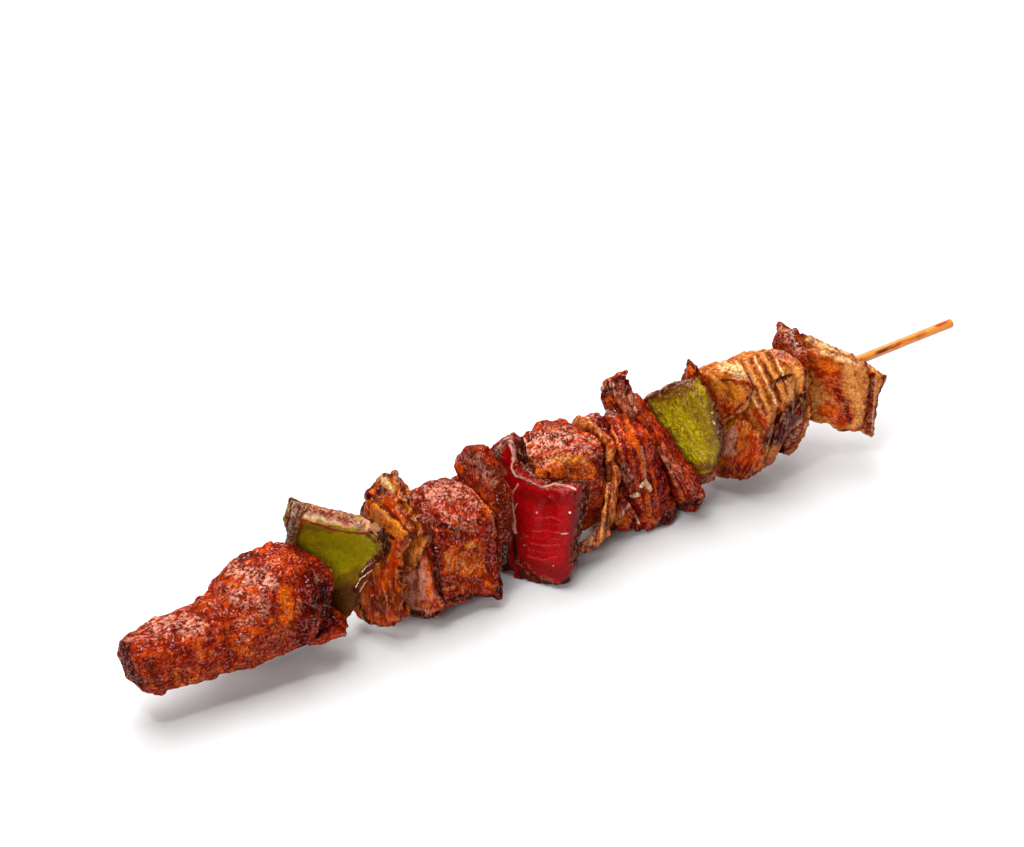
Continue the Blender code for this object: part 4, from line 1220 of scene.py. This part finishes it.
def onion_stack():
    """The burnt scrap, the rolled leaf, and the stack of wrinkled gold leaves."""
    onion("onion_5", 0.51, base=CARAMEL, light=OCHRE, brown=UMBER, browned=0.6, marks={
        "burnt scrap": (MAROON, 0.8, 6, (690, 362), (694, 372)),
        "orange in the scrap": (ORANGE_GLAZE, 0.9, 3, (690, 368), (692, 372)),
        "rose foot": (PEACH, 0.9, 4, (700, 481), (716, 477)),
    }, moves={
        "tip of the scrap": ((689, 360), 6, (-1, 2, 0)),
    })

    onion("onion_6", 0.53, browned=0.25, lines_turn=(0, 0, 60), charred=0.3, marks={
        # A painted highlight along the top
        "pale top": (CREAM, 1.0, 5, (724, 368), (738, 372), (746, 378)),
        "gold middle": (GOLD_GLAZE_AND_GLINT, 1.0, 9, (720, 386), (736, 392)),
        "brown outline": (CARAMEL, 0.9, 2.5, (734, 381), (748, 383), (752, 390), (744, 402), (735, 411)),
        "dark outline": (UMBER, 0.9, 1.3, (722, 380), (744, 381), (752, 389), (745, 403), (733, 413),
                         (724, 418)),
        "brown left": (CARAMEL, 1.0, 4, (704, 378), (711, 392), (716, 406), (722, 418)),
        "brown foot": (CARAMEL, 0.9, 5, (722, 408), (732, 412)),
    }, folds={
        "edge": (0.6, 2.5, (735, 380), (751, 386), (744, 403), (733, 412)),
        "dip": (-0.5, 5, (722, 384), (730, 396)),
        "ridge": (0.3, 2.5, (712, 378), (724, 388)),
    })

    fan = between(((742, 404), (730, 436), (726, 470)), ((774, 412), (772, 440), (762, 472)), 7)
    onion("onion_7", 0.55, light=GOLD_GLAZE_AND_GLINT, lines=(1, 1, 7), lines_turn=(30, 0, 0), charred=0.4, marks={
        **strokes("rib", fan, (OCHRE, 0.8, 2.2), (CARAMEL, 0.9, 2.0)),
        "rose light": (PEACH, 0.9, 7, (731, 432), (730, 452)),
        "gold left edge": (STRAW, 0.9, 2.5, (724, 424), (726, 436)),
        "red foot": (CARAMEL, 1.0, 12, (732, 460), (752, 454), (764, 444)),
        "deep foot": (DEEP_RED, 0.9, 8, (726, 470), (748, 470)),
        "dark foot": (UMBER, 1.0, 4, (724, 476), (745, 480), (762, 472)),
        "mauve foot": (BLUSH, 0.8, 4, (764, 470), (772, 460)),
    }, folds=strokes("rib", fan, (0.25, 2.2), (-0.25, 1.8)))

    # Three gold leaves that share their ribs, their burnt lower edge and their ashen top
    ribs = between(((736, 362), (750, 390), (762, 418)), ((772, 352), (783, 374), (792, 392)), 9)
    ribbed = strokes(
        "rib", ribs, (CREAM, 0.8, 1.6), (CARAMEL, 0.8, 1.6), (STRAW, 0.9, 2.0), (OCHRE, 0.9, 1.6)
    )
    relief = strokes("rib", ribs, (0.6, 1.8), (-0.5, 1.6))
    ashen = {"crinkled top": (0.8, 5, (776, 352), (790, 352), (800, 358))}
    burnt = {
        "burnt lower edge": (MAROON, 1.0, 6, (803, 398), (792, 406), (778, 422)),
        "burnt below": (MAROON, 1.0, 10, (798, 408), (786, 424), (774, 440)),
        "crimson streak": (CRIMSON, 0.4, 3, (800, 408), (790, 422)),
        "mauve foot": (BLUSH, 0.9, 4, (764, 472), (774, 458), (790, 440)),
        "brown slope": (CARAMEL, 0.8, 5, (756, 412), (768, 432)),
        "dark slope": (UMBER, 0.8, 5, (764, 442), (770, 432)),
    }
    gold_leaf = dict(browned=0.25, lines=(1, 1, 6), lines_turn=(25, 0, 0), wrinkled=0.5, ragged=0.6,
                     charred=0.25, joined=0.3, crackle=ashen)
    onion("onion_8", 0.57, marks={
        **ribbed, **burnt,
        # A painted highlight along the top
        "pale top": (CREAM, 1.0, 6, (722, 366), (740, 370), (752, 380)),
        "pale plate": (CREAM, 0.6, 6, (768, 368), (780, 372)),
    }, folds=relief, **gold_leaf)

    slit = ((777, 381), (784, 377), (790, 376))
    onion("onion_9", 0.59, marks={
        **ribbed, **burnt,
        "tan plate": (STRAW, 0.9, 7, (786, 396), (794, 384)),
        "slit": (MAROON, 1.0, 2, *slit),
        "dark round the slit": (CHAR, 1.0, 1.4, (776, 383), (784, 380), (793, 374)),
    }, folds={
        **relief,
        "slit": (-0.9, 1.6, *slit),
    }, moves={
        "let out over the next": ((788, 384), 14, (3, 0, 1)),
    }, **gold_leaf)

    onion("onion_10", 0.61, marks={
        **burnt,
        "tan plate": (STRAW, 0.9, 7, (794, 388), (798, 372)),
        "brown right edge": (MAROON, 0.9, 2, (804, 352), (806, 378), (804, 398)),
    }, folds=relief, **gold_leaf)


def handle_side():
    """The burnt slice and the last leaves before the bare stick."""
    meat("meat_9", 0.090, charred=0.6, redness=0.4, dark=0.6, marks={
        "burnt knob": (MAROON, 0.8, 5, (790, 334), (796, 344)),
        "orange knob": (ORANGE_GLAZE, 0.7, 3, (782, 336), (786, 342)),
        "burnt foot": (MAROON, 0.9, 7, (774, 446), (784, 452)),
        "pale side": (TAN, 0.7, 3, (790, 440), (800, 424), (804, 410)),
    }, crackle={
        "ashen knob": (1.0, 7, (780, 330), (792, 342), (802, 352)),
        "ashen side": (0.8, 5, (788, 442), (800, 424)),
    }, moves={
        "left tip": ((779, 328), 5, (-1, 5, 0)),
        "right tip": ((795, 332), 5, (1, 5, 0)),
        "dip between the tips": ((787, 328), 4, (0, -4, 0)),
    })

    onion("onion_11", 0.63, browned=0.4, charred=0.3, joined=0.3, marks={
        "burnt side": (MAROON, 1.0, 9, (792, 412), (784, 430), (780, 446)),
        "crimson streak": (CRIMSON, 0.6, 3, (800, 408), (790, 426), (778, 440)),
        "mauve edge": (PALE_ROSE, 0.8, 2.5, (804, 424), (794, 440), (786, 450)),
    })

    onion("onion_12", 0.65, browned=0.3, lines=(1, 5, 1), wrinkled=0.25, charred=0.4, marks={
        "tan left": (STRAW, 0.9, 8, (814, 392), (820, 410)),
        "pale right": (STRAW, 1.0, 6, (848, 368), (856, 398)),
        "pale right foot": (STRAW, 0.9, 5, (860, 404), (858, 424)),
        "caramel high": (CARAMEL, 1.0, 14, (820, 364), (832, 380)),
        "orange in the caramel": (ORANGE_GLAZE, 0.8, 8, (818, 362), (832, 368)),
        "caramel band": (CARAMEL, 1.0, 7, (830, 388), (843, 402), (848, 420)),
        "caramel low": (CARAMEL, 1.0, 11, (828, 410), (842, 418)),
        "orange low": (ORANGE_GLAZE, 0.8, 6, (822, 408), (834, 414)),
        "dark curve": (DEEP_RED, 0.9, 3.5, (836, 390), (845, 402), (849, 422)),
        "pale top": (CREAM, 0.7, 3, (822, 352), (840, 358), (858, 364)),
        "burnt foot": (MAROON, 1.0, 3, (834, 431), (850, 433)),
        "gold foot": (STRAW, 0.9, 4, (816, 424), (828, 428)),
        "brown left edge": (CARAMEL, 1.0, 2.5, (808, 352), (809, 380), (810, 416)),
    })

    onion("onion_13", 0.67, browned=0.4, lines=(1, 5, 1), charred=0.4, marks={
        "cream cut edge": (CREAM, 1.0, 4, (808, 340), (826, 347), (850, 357)),
        "gold cut edge": (STRAW, 0.9, 4, (856, 360), (872, 368)),
        "burnt tip": (MAROON, 1.0, 2.5, (801, 333), (806, 335)),
        "red side": (DEEP_RED, 0.9, 5, (873, 376), (871, 400), (868, 432)),
        "pale line": (TAN, 0.8, 1.2, (876, 378), (874, 404), (872, 430)),
        "burnt outer rim": (MAROON, 0.9, 1.8, (884, 377), (877, 402), (875, 436)),
    }, moves={
        "far corner": ((884, 377), 7, (2, 0, 0)),
        "low corner": ((872, 438), 6, (1, -1, 0)),
    })


def cook():
    """Every piece, from the near end to the handle end."""
    first_meats()
    first_green_pepper()
    first_onion()
    second_meats()
    red_pepper()
    middle_meats()
    second_green_pepper()
    onion_stack()
    handle_side()
    stick()


def area_light(name, size, power, where):
    light = bpy.data.lights.new(name, "AREA")
    light.shape, light.size, light.energy = "SQUARE", size, power
    lamp = bpy.data.objects.new(name, light)
    bpy.context.scene.collection.objects.link(lamp)
    lamp.location = where
    lamp.rotation_euler = (Vector(where) - LIT).to_track_quat("Z", "Y").to_euler()


def studio():
    """A pale floor, three soft lights, two small ones that make the glaze glint, and the camera."""
    bpy.ops.mesh.primitive_plane_add(size=8, location=(0, 0, -0.05 * MM))
    floor = bpy.context.object
    floor.name = "floor"
    pale = bpy.data.materials.new("pale_floor")
    pale.use_nodes = True
    shader = pale.node_tree.nodes["Principled BSDF"]
    shader.inputs["Base Color"].default_value = (FLOOR_GREY, FLOOR_GREY, FLOOR_GREY, 1)
    shader.inputs["Roughness"].default_value = 0.9
    floor.data.materials.append(pale)

    world = bpy.data.worlds.new("studio")
    world.use_nodes = True
    bpy.context.scene.world = world
    sky = world.node_tree.nodes["Background"]
    sky.inputs["Color"].default_value = (1, 1, 1, 1)
    sky.inputs["Strength"].default_value = WORLD_LIGHT
    for name, (size, power, where) in LIGHTS.items():
        area_light(name, size, power, where)

    lens = bpy.data.cameras.new("camera")
    lens.lens, lens.sensor_width, lens.clip_start = LENS, SENSOR, 0.01
    camera = bpy.data.objects.new("camera", lens)
    bpy.context.scene.collection.objects.link(camera)
    camera.location = EYE
    camera.rotation_euler = BACK.to_track_quat("Z", "Y").to_euler()
    bpy.context.scene.camera = camera
    bpy.context.scene.view_settings.view_transform = "Standard"


cook()
studio()
